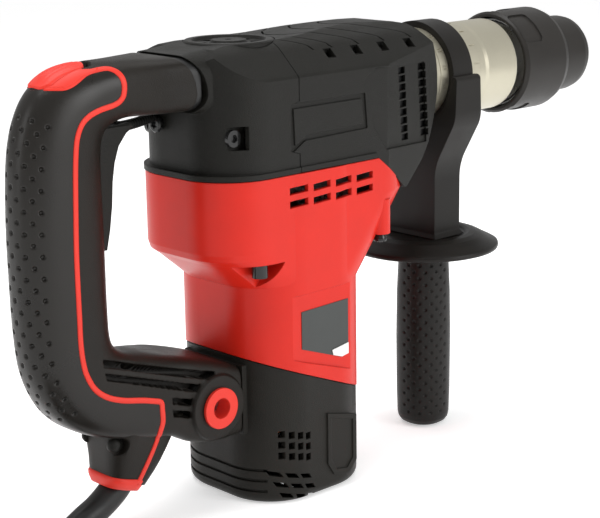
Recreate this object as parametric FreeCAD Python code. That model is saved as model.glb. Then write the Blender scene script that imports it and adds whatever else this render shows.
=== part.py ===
import FreeCAD, Part
import math
import os

# Rotary hammer, in millimetres. +X points to the chuck, +Z up, -Y is the right-hand side.
# The origin is the centre of the motor cap's flat foot, on the motor axis.

# Driving dimensions
SPINDLE_Z = 236.0          # height of the spindle axis
MOTOR_HALF = 46.0          # half width of the motor section
MOTOR_CORNER = 33.0        # corner radius of the motor section
WALL = 3.0                 # thickness of the moulded casings
SEAM_Z = 72.0              # cap seam height on the motor axis
SEAM_SLOPE = -0.40         # the cap seam is lower at the front
RED_TOP = 198.0            # seam between motor housing and gear covers
UPPER_HALF = 45.0          # half width of the gear covers
UPPER_REAR = -70.0         # rear face of the gear covers
TUB_REAR = -73.0           # rear face of the motor housing's upper section
CROWN_Z = 275.0            # top of the gear covers
BELLOWS_GAP = 6.2          # from the handle bar's front end to the gear cover's neck
UPPER_FRONT = 110.0        # front face of the gear covers
CRANK_X = -28.8            # crank axis
LAYSHAFT_X = 30.0          # layshaft axis
GEAR_MODULE = 1.2
PINION_TEETH = 7
CRANK_TEETH = 41
LAYSHAFT_TEETH = 43
GEAR_Z = 172.0             # underside of the spur gears
CRANK_THROW = 12.0
SELECTOR_X = 8.0           # mode selector on the left-hand side
SELECTOR_Z = 226.0
SCREW_X = -57.5            # side screws of the rear gear cover
SCREW_Z = 222.0
SCREW_SEAT_Y = -34.5
CAP_Z = 271.8              # top of the grease cap's rim
BARREL_R = 29.4
SLEEVE_X = 200.0           # rear rim of the chuck sleeve
SLEEVE_R = 34.0
SOCKET_R = 9.1             # SDS-max socket for an 18 mm shank
RUN = 0.05                 # radial clearance of a running fit
SIDE_X = 136.5             # side handle axis
HANDLE_HALF = 17.5         # half width of the rear handle's grip
ARM_HALF = 26.0            # half width of the rear handle's lower arm
PIVOT_X = -66.0            # rear handle pivot
PIVOT_Z = 66.0
GRIP_FRONT = -125.5        # finger side of the rear grip
CORD_R = 4.0
LABEL_Y = -44.9            # floor of the rating plate's recess
COIL_X = -192.0            # centre of the coiled cord
COIL_Y = -84.0
COIL_INNER = 34.0
COIL_OUTER = 58.0
COIL_HEIGHT = 24.4
TRIGGER_X = -136.0         # trigger hinge
TRIGGER_Z = 230.0
WINDOW_ANGLES = (43.0, -17.0, 223.0, 163.0)   # windows of the chuck sleeve, from the top towards -Y

# Side outlines: X, Z and the radius of each corner
HANDLE_OUTLINE = [(-68, 268.3, 0), (-147, 270.2, 45), (-176, 243, 35), (-181, 170, 200), (-179, 94, 38),
                  (-156, 66, 30), (-138, 61.5, 0), (-96, 55, 0), (-80, 46, 10), (-66, 43, 20), (-47.2, 43, 0),
                  (-47.2, 86.5, 0), (GRIP_FRONT, 107, 14), (GRIP_FRONT, 237, 14), (-68, 237, 0)]
# Rear edge of the gear cover's neck, which the handle bar's front end follows
NECK_EDGE = [(-75.5, 226), (-73.5, 236.5), (-70, 241), (-68, 247.5), (-69, 254), (-71.5, 260), (-75.5, 265),
             (-79.5, 269), (-83.5, 273)]
# Seen from the end: X, half width, underside, top, lower and upper corner radius
NECK_SECTIONS = [(-92, 26.5, 236.5, 268.3, 10, 10), (-76, 26.7, 236.2, 268.6, 10, 10.5),
                 (-66, 29.0, 234.0, 269.6, 11, 14), (-56, 33.0, 229.0, 270.6, 12, 19),
                 (-46, 38.0, 221.0, 271.0, 13, 25)]
BAR_SECTIONS = [(-130, 17.4, 237.4, 269.3, 9, 9), (-116, 18.6, 237.1, 268.9, 9, 9),
                (-102, 20.9, 237.0, 268.6, 9.5, 9.5), (-86, 24.4, 236.8, 268.3, 10, 10),
                (-66, 27.5, 236.5, 268.3, 10, 10)]
BAR_END = (26.5, 236.5, 268.3, 10, 10)
TRIGGER_OUTLINE = [(-143, 234), (-106, 234), (-103, 231.5), (-108.5, 228.5), (-114, 222), (-117.2, 213),
                   (-119, 203), (-120, 190), (-122, 177), (-124.6, 165.8), (-143, 165.8)]
INLAY_PATH = [(-118, 262), (-115, 254), (-119, 248.5), (-134, 244.5), (-143, 241), (-148, 233), (-150, 210),
              (-152, 150), (-151, 118), (-148, 104), (-142, 94), (-133, 87), (-100, 77.5), (-99, 64), (-117, 30)]
# Plan of a groove over the gear cover's crown, measured from its grille hole: X step and Y
CROWN_GROOVE = [(0, -32), (-2.5, -29), (-9.5, -25.5), (-17.5, -21.7), (-28, -17), (-38, -11), (-43, -4), (-43.5, 0)]
# The cord guard's centre line with its radius, from inside the boot to where the lead leaves it
GUARD_PATH = [(-114.0, 0, 34.0, 8.6), (-122.4, 0, 24.6, 8.6), (-133.6, 0, 16.9, 8.2), (-144.0, -0.2, 12.6, 7.8),
              (-153.0, -0.8, 10.0, 6.6), (-161.0, -2.0, 8.0, 5.0)]
# The lead leaves the guard, settles on the floor and reaches the coil's outer turn
CORD_ROUTE = [(-161.0, -2.0, 8.0), (-167.0, -3.6, 6.2), (-174.5, -8.0, 4.3), (-186, -17.5, 4.1),
              (-200.3, -28.3, 4.1), (-214.8, -35.1, 4.1)]

os.makedirs("parts", exist_ok=True)


def vec(x, y, z):
    return FreeCAD.Vector(x, y, z)


X_AXIS = vec(1, 0, 0)
Y_AXIS = vec(0, 1, 0)
Z_AXIS = vec(0, 0, 1)
SLIDE_DIR = vec(0.970, 0, 0.243)                     # the lock button's way along the handle's top
SLIDER_BASE = vec(-165.0, 0, 257.0)                  # rear end of the button's seat
PLUG_BACK = vec(-209.0, -48.0, COIL_HEIGHT + 9.4)    # where the lead enters the plug
PLUG_DIR = vec(-0.62, -0.784, 0)


def save(name, *solids):
    """One node: a single solid, or a group of separate ones."""
    shape = solids[0] if len(solids) == 1 else Part.makeCompound(list(solids))
    if not shape.isValid():
        print("not valid:", name)
    shape.exportStep("parts/" + name + ".step")


def block(x0, x1, y0, y1, z0, z1):
    return Part.makeBox(x1 - x0, y1 - y0, z1 - z0, vec(x0, y0, z0))


def rod(radius, base, axis, length):
    return Part.makeCylinder(radius, length, base, axis)


def tube(outer, inner, base, axis, length):
    return rod(outer, base, axis, length).cut(rod(inner, base, axis, length))


def side_prism(points, half, y0=None):
    """A solid whose outline is drawn in X and Z, from y0 (or -half) to half."""
    low = -half if y0 is None else y0
    wire = Part.makePolygon([vec(x, low, z) for x, z in points + points[:1]])
    return Part.Face(wire).extrude(vec(0, half - low, 0))


def end_prism(points, x0, x1):
    """A solid whose outline is drawn in Y and Z, from x0 to x1."""
    wire = Part.makePolygon([vec(x0, y, z) for y, z in points + points[:1]])
    return Part.Face(wire).extrude(vec(x1 - x0, 0, 0))


def rounded_wire(x0, x1, half, r0, r1, z):
    """A rectangle in plan, with corner radius r0 at the rear and r1 at the front."""
    edges = []
    corners = [(x0, half, r0, 180), (x0, -half, r0, 270), (x1, -half, r1, 0), (x1, half, r1, 90)]
    last = None
    first = None
    for x, y, r, end in corners:
        cx = x + r if x == x0 else x - r
        cy = y - r if y > 0 else y + r
        start = math.radians(end - 90)
        stop = math.radians(end)
        middle = (start + stop) / 2
        pts = [vec(cx + r * math.cos(a), cy + r * math.sin(a), z) for a in (start, middle, stop)]
        if last is not None:
            edges.append(Part.LineSegment(last, pts[0]).toShape())
        else:
            first = pts[0]
        edges.append(Part.Arc(*pts).toShape())
        last = pts[2]
    edges.append(Part.LineSegment(last, first).toShape())
    return Part.Wire(edges)


def rounded_prism(x0, x1, half, r0, r1, z0, z1):
    return Part.Face(rounded_wire(x0, x1, half, r0, r1, z0)).extrude(vec(0, 0, z1 - z0))


def revolve_z(points, x=0.0, y=0.0):
    """A turned solid about a vertical axis; points are (radius, z)."""
    wire = Part.makePolygon([vec(x + r, y, z) for r, z in points + points[:1]])
    return Part.Face(wire).revolve(vec(x, y, 0), Z_AXIS, 360)


def revolve_x(points):
    """A turned solid about the spindle axis; points are (x, radius)."""
    wire = Part.makePolygon([vec(x, 0, SPINDLE_Z + r) for x, r in points + points[:1]])
    return Part.Face(wire).revolve(vec(0, 0, SPINDLE_Z), X_AXIS, 360)


def end_wire(corners, x):
    """A closed wire seen from the end, at x; each corner is (y, z, radius)."""
    wire = rounded_outline(corners, 0)
    wire.rotate(vec(0, 0, 0), Z_AXIS, 90)
    wire.translate(vec(x, 0, 0))
    return wire


def end_loft(sections, shrink=0.0):
    """A smooth solid through rounded rectangles: each x, half width, low, high, low radius, high radius."""
    wires = []
    for x, half, low, high, low_r, high_r in sections:
        half -= shrink
        corners = [(-half, low + shrink, low_r - shrink), (-half, high - shrink, high_r - shrink),
                   (half, high - shrink, high_r - shrink), (half, low + shrink, low_r - shrink)]
        wires.append(end_wire(corners, x))
    return Part.makeLoft(wires, True, False)


def both_sides(shape):
    """The shape and its mirror image across the middle plane."""
    return [shape, shape.mirror(vec(0, 0, 0), Y_AXIS)]


def seam_z(x):
    return SEAM_Z + SEAM_SLOPE * x


def seam_wedge(offset, top):
    """Everything between the slanted cap seam, moved up by offset, and height top."""
    reach = 80.0
    return side_prism([(-reach, seam_z(-reach) + offset), (reach, seam_z(reach) + offset),
                       (reach, top), (-reach, top)], reach)


# Motor cap, with vents, rear grooves and the lug that carries the rear handle's pivot

def motor_cap():
    half = MOTOR_HALF
    shell = rounded_prism(-half, half, half, MOTOR_CORNER, MOTOR_CORNER, 0, 110)
    foot = [e for e in shell.Edges if e.BoundBox.ZMax < 0.01]
    shell = shell.makeFillet(6.0, foot)
    boss = block(-half - 0.5, -36, -ARM_HALF, ARM_HALF, 44, 86)
    shell = shell.fuse(boss)
    inner = half - WALL
    shell = shell.cut(rounded_prism(-inner, inner, inner, MOTOR_CORNER - WALL, MOTOR_CORNER - WALL,
                                    WALL, 120))
    lug = block(PIVOT_X - 8, -half + 1, -11, 11, 54, 78)
    shell = shell.fuse(lug.fuse(rod(12, vec(PIVOT_X, -11, PIVOT_Z), Y_AXIS, 22)))
    shell = shell.cut(rod(6.0, vec(PIVOT_X, -20, PIVOT_Z), Y_AXIS, 40))
    shell = shell.cut(seam_wedge(-0.25, 130))
    for z in (7.5, 14.0, 20.5):
        ring = rounded_prism(-half - 2, half + 2, half + 2, MOTOR_CORNER + 2, MOTOR_CORNER + 2, z, z + 1.8)
        deep = half - 1.3
        keep = rounded_prism(-deep, deep, deep, MOTOR_CORNER - 1.3, MOTOR_CORNER - 1.3, z - 1, z + 3)
        shell = shell.cut(ring.cut(keep).cut(block(-37, 60, -60, 60, z - 1, z + 4)))
    cuts = []
    for row in range(3):
        for col in range(4):
            x = -32.0 + 5.6 * col
            z = 41.5 - 6.6 * row - 0.22 * (x + 32)
            cuts.append(block(x, x + 3.6, -60, 60, z, z + 4.2))
    for row in range(3):
        for col in range(3):
            x = -38.0 + 3.0 * row + 9.2 * col
            z = 21.5 - 6.4 * row - 0.22 * (x + 38)
            cuts.append(side_prism([(x, z), (x + 6.6, z - 1.4), (x + 8.6, z - 4.6), (x + 1.8, z - 3.2)], 60))
    for row in range(6):
        cuts.append(block(32.5, 36.5, -60, 60, 16 + 5.6 * row, 19.4 + 5.6 * row))
    shell = shell.cut(Part.makeCompound(cuts))
    panel = side_prism([(2, 50), (26, 44), (26, 15), (20, 8), (7, 10), (2, 18)], -half + 0.6, -half - 1.0)
    frame = side_prism([(5, 46.5), (23, 41.5), (23, 17), (18, 11.5), (9, 13), (5, 20)], -half - 0.3, -half - 2)
    panel = panel.cut(frame)
    shell = shell.fuse(both_sides(panel))
    lower_boss = tube(14.0, 11.0, vec(0, 0, WALL - 0.5), Z_AXIS, 14.5)
    return shell.fuse(lower_boss)


# Motor housing: the motor section below, the wider gear section above

def half_loft(sections):
    """A ruled solid through plan sections (x0, x1, half, r0, r1, z), each a rounded rectangle."""
    wires = [rounded_wire(*s) for s in sections]
    return Part.makeLoft(wires, True, True)


def housing_outer(shrink, low, high):
    """The motor housing's outside, moved in by shrink all over."""
    half = MOTOR_HALF + 0.4 - shrink
    corner = MOTOR_CORNER - shrink
    upper = UPPER_HALF + 0.6 - shrink
    rear = TUB_REAR + shrink
    front = 86.0 - shrink
    motor = rounded_prism(-half, half, half, corner, corner, low, high)
    # the gear section grows out of the motor section: at the front over a long slope, at the rear in a step
    grow_front = half_loft([(-40, half + 0.5, upper, corner * 0.9, corner, 127.0 + shrink),
                            (-40, front, upper, corner * 0.9, corner, 176.0 + shrink)])
    grow_front = grow_front.fuse(rounded_prism(-40, front, upper, corner * 0.9, corner, 176 + shrink, high))
    grow_front = grow_front.common(block(0, 200, -90, 90, 0, 300))
    back = corner * 0.9
    grow_rear = rounded_prism(rear, 40, upper, corner, back, 156 + shrink, high)
    grow_rear = grow_rear.fuse(half_loft([(-half, 40, upper, corner, back, 132 + shrink),
                                          (rear + 6.5, 40, upper, corner, back, 148.5 + shrink),
                                          (rear + 1.5, 40, upper, corner, back, 152.0 + shrink),
                                          (rear, 40, upper, corner, back, 156 + shrink)]))
    grow_rear = grow_rear.common(block(-200, 0, -90, 90, 0, high))
    return motor.fuse([grow_front, grow_rear]).removeSplitter()


def chin_cut(offset):
    """The space above the motor housing's top seam: level at the rear, dropping to the chin in front."""
    return side_prism([(-150, RED_TOP + offset), (48, RED_TOP + offset), (76, 176 + offset), (150, 176 + offset),
                       (150, 330), (-150, 330)], 100)


def motor_housing():
    outer = housing_outer(0, 40, 215)
    inner = housing_outer(WALL, 20, 230)
    shell = outer.cut(inner).cut(chin_cut(-0.25))
    below = side_prism([(-80, seam_z(-80) + 0.25), (80, seam_z(80) + 0.25), (80, 0), (-80, 0)], 80)
    shell = shell.cut(below)
    slots = []
    for col in range(4):
        x = -24.4 + 17.8 * col
        for low in (186.2, 178.5):
            slots.append(side_prism([(x, low), (x + 13.5, low + 0.8), (x + 13.5, low + 4.9), (x, low + 4.1)], 70))
    shell = shell.cut(Part.makeCompound(slots))
    # a bolt hangs in a three-cornered pocket under each side of the upper section
    boss = side_prism([(-64, 151), (-26, 151), (-26, 148), (-40, 130), (-44, 130), (-64, 148)], -30.5, -60)
    shell = shell.fuse([b.common(outer) for b in both_sides(boss)])
    notch = side_prism([(-61, 148.5), (-29, 148.5), (-41.5, 133)], -33.5, -60)
    label = side_prism([(-27, 126), (30, 127), (30, 70.5), (-17, 86), (-27, 90)], LABEL_Y, -60)
    shell = shell.cut(Part.makeCompound(both_sides(notch) + [label]))
    lug = rod(6.0, vec(54.5, -40, 150.5), Z_AXIS, 21.5)
    shell = shell.fuse(both_sides(lug.cut(housing_outer(1.0, 20, 230))))
    return shell


# Gear covers

def cover_section(shrink):
    """Side walls, sloping shoulders and a crowned top, seen from the end."""
    half = UPPER_HALF - shrink
    top = CROWN_Z - shrink
    side = -half - 1.0
    right = [(side, 150, 0), (side, 251.6 - shrink, 8), (-half + 17, 268.3 - shrink, 22), (-13, top, 30)]
    return right + [(-y, z, radius) for y, z, radius in reversed(right)]


def neck_zone(offset):
    """Everything ahead of the neck's curved rear edge, moved along X by offset."""
    points = [vec(x + offset, -60, z) for x, z in NECK_EDGE]
    curve = Part.BSplineCurve()
    curve.interpolate(points)
    low, high = points[0], points[-1]
    ahead = Part.makePolygon([high, vec(-40, -60, high.z), vec(-40, -60, low.z), low])
    return Part.Face(Part.Wire([curve.toShape()] + ahead.Edges)).extrude(vec(0, 120, 0))


def cover_outer(shrink, bottom):
    plan_rear = UPPER_REAR + shrink
    front = UPPER_FRONT - shrink
    half = UPPER_HALF - shrink
    body = Part.Face(end_wire(cover_section(shrink), plan_rear)).extrude(vec(front - plan_rear, 0, 0))
    plan = rounded_prism(plan_rear, 58, half, MOTOR_CORNER - shrink, 1, 100, 300)
    right = [(50, -half), (56, -half), (90, -39 + shrink), (front, -35.5 + shrink)]
    around = right + [(x, -y) for x, y in reversed(right)] + right[:1]
    nose = Part.Face(Part.makePolygon([vec(x, y, 100) for x, y in around])).extrude(vec(0, 0, 200))
    body = body.common(plan.fuse(nose))
    profile = side_prism([(plan_rear, bottom), (plan_rear, 256 - shrink), (-68 + shrink, 264 - shrink),
                          (-60 + shrink, 270 - shrink), (-50, 271.2 - shrink), (0, 271.6 - shrink),
                          (30, 273.8 - shrink), (60, CROWN_Z - shrink), (90, 273.3 - shrink),
                          (98 - shrink, 271.6 - shrink), (104.5 - shrink, 262), (108.6 - shrink, 251),
                          (front, 240), (front, 205 + shrink), (105, 200.5 + shrink), (76, 176 + shrink), (74, 176 + shrink),
                          (48, bottom)], 100)
    # the front end draws in around the barrel
    taper = revolve_x([(-100, 0), (-100, 130), (76, 79 - shrink), (100, 52 - shrink), (front, 35.8 - shrink),
                       (front, 0)])
    neck = end_loft(NECK_SECTIONS, shrink).common(neck_zone(shrink))
    return body.common(profile).common(taper).fuse(neck)


def seam_split(offset):
    """The front half's side of the jogged joint between the two gear covers."""
    return side_prism([(-15.5 + offset, 100), (-15.5 + offset, 209), (-22 + offset, 211), (-22 + offset, 237),
                       (-15.5 + offset, 239), (-15.5 + offset, 330), (200, 330), (200, 100)], 100)


def gear_cover_body():
    outer = cover_outer(0, RED_TOP).cut(block(-100, 48, -90, 90, 100, RED_TOP))
    lip = rounded_prism(TUB_REAR - 0.6, 60, UPPER_HALF + 1.0, MOTOR_CORNER, 3, RED_TOP + 0.25, RED_TOP + 3.4)
    outer = outer.fuse(lip.common(block(-90, 46, -90, 90, 190, 210)))
    body = outer.cut(cover_outer(WALL, 150))
    body = body.cut(rod(BARREL_R + 1.0, vec(92, 0, SPINDLE_Z), X_AXIS, 30))
    return body


def grille_cuts():
    """Two columns of square vents on the side, and a row of holes along the shoulder."""
    cuts = []
    for column in (68.6, 89.6):
        for row in range(9):
            x = column + 0.45 * row
            z = 245.2 - 5.08 * row
            cuts.append(block(x, x + 6.8, -60, -30, z, z + 4.0))
    for x in (15.2, 37.2, 59.4, 82.0):
        cuts.append(block(x, x + 6.4, -60, -29.5, 259.4, 264.4))
    return cuts


def crown_grooves():
    """Thin curved lines over the crown, one from each shoulder hole and one behind the first."""
    lines = []
    for start in (7.6, 22.6, 44.4, 66.0, 89.4):
        rear = [vec(start + x, y, 240) for x, y in CROWN_GROOVE if start > 10 or y < -18]
        front = [p + vec(1.6, 0, 0) for p in reversed(rear)]
        lines.append(Part.Face(Part.makePolygon(rear + front + rear[:1])).extrude(vec(0, 0, 60)))
    return Part.makeCompound(lines).cut(cover_outer(1.5, 150))


def gear_covers():
    body = gear_cover_body()
    front = body.common(seam_split(0.25))
    rear = body.cut(seam_split(-0.25))
    cuts = []
    for shape in grille_cuts() + [crown_grooves()]:
        cuts += both_sides(shape)
    recess = side_prism([(46, 251.5), (36, 245), (42, 226), (44, 218), (55, 202), (98, 200.5), (95, 250)], 20, -60)
    cuts += both_sides(recess.cut(cover_outer(1.1, 150)))
    panel = [(-23, 238), (37, 238), (39, 217), (-11, 216), (-22, 209.5)]
    inset = [(-20, 235), (34, 235), (36, 220), (-10, 219), (-19, 214)]
    groove = side_prism(panel, -UPPER_HALF + 0.9, -60).cut(side_prism(inset, -UPPER_HALF + 2, -61))
    front = front.cut(Part.makeCompound(cuts + [groove]))
    front = front.cut(rod(5.0 + RUN, vec(SELECTOR_X, 30, SELECTOR_Z), Y_AXIS, 30))
    # each side screw sits at the bottom of a pocket in the rear corner, over a solid seat
    seat = block(-66, -48, SCREW_SEAT_Y, SCREW_SEAT_Y + 4, 212, 232).common(cover_outer(1.0, 150))
    rear = rear.fuse(both_sides(seat))
    pocket = rod(6.6, vec(SCREW_X, -60, SCREW_Z), Y_AXIS, 60 + SCREW_SEAT_Y)
    pocket = pocket.fuse(block(SCREW_X, SCREW_X + 6.6, -60, SCREW_SEAT_Y, SCREW_Z - 6.6, SCREW_Z + 6.6))
    rear = rear.cut(Part.makeCompound(both_sides(pocket)))
    cap_hole = rod(26.5, vec(-28, 0, CAP_Z - 9.9), Z_AXIS, 20)
    rear = rear.cut(cap_hole)
    front = front.cut(cap_hole).cut(motor_housing())
    return rear, front


def mode_selector():
    """The drill and chisel selector on the left-hand side: a disc with a grip bar."""
    disc = rod(16.0, vec(SELECTOR_X, UPPER_HALF + 0.4, SELECTOR_Z), Y_AXIS, 4.6)
    rim = [e for e in disc.Edges if e.BoundBox.YMin > UPPER_HALF + 4.5]
    disc = disc.makeFillet(1.2, rim)
    bar = block(SELECTOR_X - 13, SELECTOR_X + 13, UPPER_HALF + 2, UPPER_HALF + 11.5, SELECTOR_Z - 4, SELECTOR_Z + 4)
    top = [e for e in bar.Edges if e.BoundBox.YMin > UPPER_HALF + 11.4]
    bar = bar.makeChamfer(1.2, top)
    return disc.fuse([bar, rod(5.0, vec(SELECTOR_X, 38, SELECTOR_Z), Y_AXIS, 10)])


def grease_cap():
    z = CAP_Z
    cap = revolve_z([(0, z - 9.7), (22, z - 9.7), (26.2, z - 6.9), (26.2, z - 0.8), (25.2, z), (21.5, z),
                     (20.5, z - 1.8), (11.0, z - 1.8), (10.0, z - 0.2), (0, z - 0.2)], -28)
    cuts = []
    for k in range(8):
        slot = block(12.5, 19.5, -2.6, 2.6, z - 3.6, z + 2)
        slot.rotate(vec(0, 0, 0), Z_AXIS, 45 * k + 11)
        slot.translate(vec(-28, 0, 0))
        cuts.append(slot)
    cuts.append(rod(2.0, vec(-28, 0, z - 1.4), Z_AXIS, 5))
    return cap.cut(Part.makeCompound(cuts))


# Gearbox

def crankcase():
    plate = rounded_prism(-66, 66, 39, 22, 22, 160, 168)
    bores = [rod(11, vec(0, 0, 150), Z_AXIS, 30), rod(9, vec(CRANK_X, 0, 150), Z_AXIS, 30),
             rod(9, vec(LAYSHAFT_X, 0, 150), Z_AXIS, 30)]
    carrier = block(58, 66, -38, 38, 168, 262).cut(rod(24, vec(50, 0, SPINDLE_Z), X_AXIS, 30))
    carrier = carrier.cut(rod(29, vec(LAYSHAFT_X, 0, 165), Z_AXIS, 40))
    inside = housing_outer(WALL + 0.3, 150, RED_TOP)
    inside = inside.fuse(cover_outer(WALL + 0.3, 150).common(block(-90, 120, -60, 60, RED_TOP, 300)))
    return plate.fuse(carrier).cut(Part.makeCompound(bores)).common(inside)


def involute_gear(teeth, thickness, bore, x, z):
    """A spur gear with involute flanks and backlash; its first tooth points along +X.

    The small pinion has long teeth with undercut roots, and the wheels it drives have short teeth."""
    pitch_r = GEAR_MODULE * teeth / 2
    base_r = pitch_r * math.cos(math.radians(20))
    small = teeth < 12
    tip_r = pitch_r + GEAR_MODULE * (0.9 if small else 0.55)
    root_r = pitch_r - GEAR_MODULE * (0.85 if small else 1.2)
    backlash = 0.12 / pitch_r
    undercut = 0.55 if small else 1.0

    def spread(r):
        """Polar angle of the involute at radius r, from its start on the base circle."""
        if r <= base_r:
            return 0.0
        roll = math.sqrt((r / base_r) ** 2 - 1)
        return roll - math.atan(roll)

    half = math.pi / (2 * teeth) + spread(pitch_r) - backlash
    radii = [max(base_r, root_r) + (tip_r - max(base_r, root_r)) * k / 4 for k in range(5)]
    points = []
    for k in range(teeth):
        middle = 2 * math.pi * k / teeth
        left = [(root_r, -half * undercut)] + [(r, -half + spread(r)) for r in radii]
        right = [(r, -a) for r, a in reversed(left)]
        for r, a in left + right:
            points.append(vec(x + r * math.cos(middle + a), r * math.sin(middle + a), z))
    face = Part.Face(Part.makePolygon(points + points[:1]))
    gear = face.extrude(vec(0, 0, thickness))
    if bore > 0:
        gear = gear.cut(rod(bore, vec(x, 0, z - 1), Z_AXIS, thickness + 2))
    return gear


def bevel_wheel(teeth, outer, height, face, base, axis):
    """A cone with straight tooth slots; base is the centre of its large end, axis runs to the apex."""
    inner = outer - face
    drop = face * height / outer
    wheel = Part.makeCone(outer, inner, drop, vec(0, 0, 0), Z_AXIS)
    slots = []
    width = 0.9 * math.pi * outer / teeth
    tilt = math.degrees(math.atan2(height, outer))
    for k in range(teeth):
        slot = block(inner - 6, outer + 3, -width / 2, width / 2, -1.1, 1.4)
        slot.rotate(vec(outer, 0, 0), Y_AXIS, tilt)
        slot.rotate(vec(0, 0, 0), Z_AXIS, 360.0 * k / teeth)
        slots.append(slot)
    wheel = wheel.cut(Part.makeCompound(slots))
    wheel.Placement = FreeCAD.Placement(base, FreeCAD.Rotation(Z_AXIS, axis))
    return wheel


# Metal nose, spindle and percussion parts

def barrel():
    """The cast nose tube, with a collar and engraved bands on both sides of the side handle's strap."""
    body = revolve_x([(66.2, 24.0), (66.2, 30.0), (111.0, 30.0), (111.0, BARREL_R + 0.6), (119.5, BARREL_R + 0.6),
                      (119.5, BARREL_R - 0.6), (120.6, BARREL_R - 0.6), (120.6, BARREL_R), (146.2, BARREL_R),
                      (146.2, BARREL_R + 0.8), (157.0, BARREL_R + 0.8), (157.0, BARREL_R),
                      (163.0, BARREL_R), (166.0, BARREL_R + 0.4), (193.5, BARREL_R + 0.4), (195.5, BARREL_R - 1.2),
                      (195.5, 15.6), (184.0, 15.6), (184.0, 24.0)])
    cuts = []
    for k in range(16):
        mark = block(151.8, 158.0, -0.6, 0.6, BARREL_R, BARREL_R + 3)
        for side in (-1.3, 0.5):
            mark = mark.fuse(block(122.6, 126.6, side, side + 0.8, BARREL_R - 0.5, BARREL_R + 3))
        mark.rotate(vec(0, 0, 0), X_AXIS, 22.5 * k + 10)
        mark.translate(vec(0, 0, SPINDLE_Z))
        cuts.append(mark)
    return body.cut(Part.makeCompound(cuts))


def chuck_sleeve():
    body = revolve_x([(SLEEVE_X, BARREL_R + 0.8), (SLEEVE_X, SLEEVE_R - 2.0), (202.2, SLEEVE_R), (240.0, SLEEVE_R),
                      (244.2, SLEEVE_R - 1.4), (247.0, SLEEVE_R - 4.6), (247.0, 27.6), (213.0, 27.6),
                      (213.0, BARREL_R + 0.8)])
    windows = []
    for angle in WINDOW_ANGLES:
        window = block(201.8, 219.8, -12.0, 12.0, 20, 40)
        corners = [e for e in window.Edges if e.BoundBox.ZLength > 19]
        window = window.makeFillet(3.0, corners)
        window.rotate(vec(0, 0, 0), X_AXIS, angle)
        window.translate(vec(0, 0, SPINDLE_Z))
        windows.append(window.cut(rod(SLEEVE_R - 1.0, vec(SLEEVE_X, 0, SPINDLE_Z), X_AXIS, 50)))
    return body.cut(Part.makeCompound(windows))


def nose_cap():
    return revolve_x([(247.4, 14.0), (247.4, 27.0), (249.0, 26.2), (253.0, 26.0), (272.0, 25.6),
                      (276.0, 24.8), (279.4, 22.6), (281.8, 19.2), (282.6, 15.0), (282.6, 11.5),
                      (280.8, SOCKET_R + 0.6), (262.0, SOCKET_R + 0.6), (262.0, 14.0)])


def spindle():
    body = revolve_x([(101.0, 8.0), (101.0, 21.0), (108.0, 21.0), (108.0, 15.0), (247.2, 15.0), (247.2, 14.0),
                      (262.0, 14.0), (262.0, SOCKET_R), (172.0, SOCKET_R), (172.0, 8.0)])
    return body


def helix_spring(mean_r, wire_r, x0, x1, turns):
    helix = Part.makeHelix((x1 - x0) / turns, x1 - x0, mean_r)
    start = vec(mean_r, 0, 0)
    profile = Part.Wire(Part.makeCircle(wire_r, start, Y_AXIS))
    coil = Part.Wire(helix.Edges).makePipeShell([profile], True, True)
    coil.Placement = FreeCAD.Placement(vec(x0, 0, SPINDLE_Z), FreeCAD.Rotation(Z_AXIS, X_AXIS))
    return coil


# Side handle

def side_yoke():
    """Two wings that reach round the strap and draw in to a neck above the guard disc."""
    half = [(-38, 237, 3), (-38, 209, 22), (-20.5, 178, 34), (-20.5, 134, 3), (-23, 131.2, 0)]
    outline = half + [(-y, z, radius) for y, z, radius in reversed(half)]
    wings = Part.Face(end_wire(outline, SIDE_X - 14)).extrude(vec(28, 0, 0))
    side = side_prism([(SIDE_X - 11, 240), (SIDE_X - 12.5, 205), (SIDE_X - 12, 168), (SIDE_X - 12, 134),
                       (SIDE_X - 14, 131.2), (SIDE_X + 14, 131.2), (SIDE_X + 12, 134), (SIDE_X + 12, 168),
                       (SIDE_X + 12.5, 205), (SIDE_X + 11, 240)], 60)
    wings = wings.common(side)
    wings = wings.cut(rod(33.6, vec(100, 0, SPINDLE_Z), X_AXIS, 80))
    return wings.cut(rod(5.0 + RUN, vec(SIDE_X, 0, 120), Z_AXIS, 60))


def guard_disc():
    return revolve_z([(6.0, 122.0), (30, 122.0), (46, 121.2), (48.4, 122.0), (49.0, 123.4), (48.6, 125.0),
                      (46.8, 126.0), (42, 128.4), (38, 130.6), (34, 132.0), (30, 132.4), (28, 131.8),
                      (27, 130.7), (6.0, 130.7)], SIDE_X)


def side_grip():
    profile = [(6.0, 121.8), (17.4, 121.8), (16.9, 112), (16.5, 104), (16.8, 84), (17.6, 62), (18.3, 40),
               (18.2, 24), (17.6, 12), (16.6, 5.5), (14.6, 2.4), (11.4, 0.9), (8.0, 0.5), (0, 0.5), (0, 96), (6.0, 96)]
    return revolve_z(profile, SIDE_X)


def grip_bolt():
    shaft = rod(5.0, vec(SIDE_X, 0, 98), Z_AXIS, 78)
    return shaft.cut(rod(1.5, vec(SIDE_X, 0, 170), Z_AXIS, 10))


# Rear handle

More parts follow.
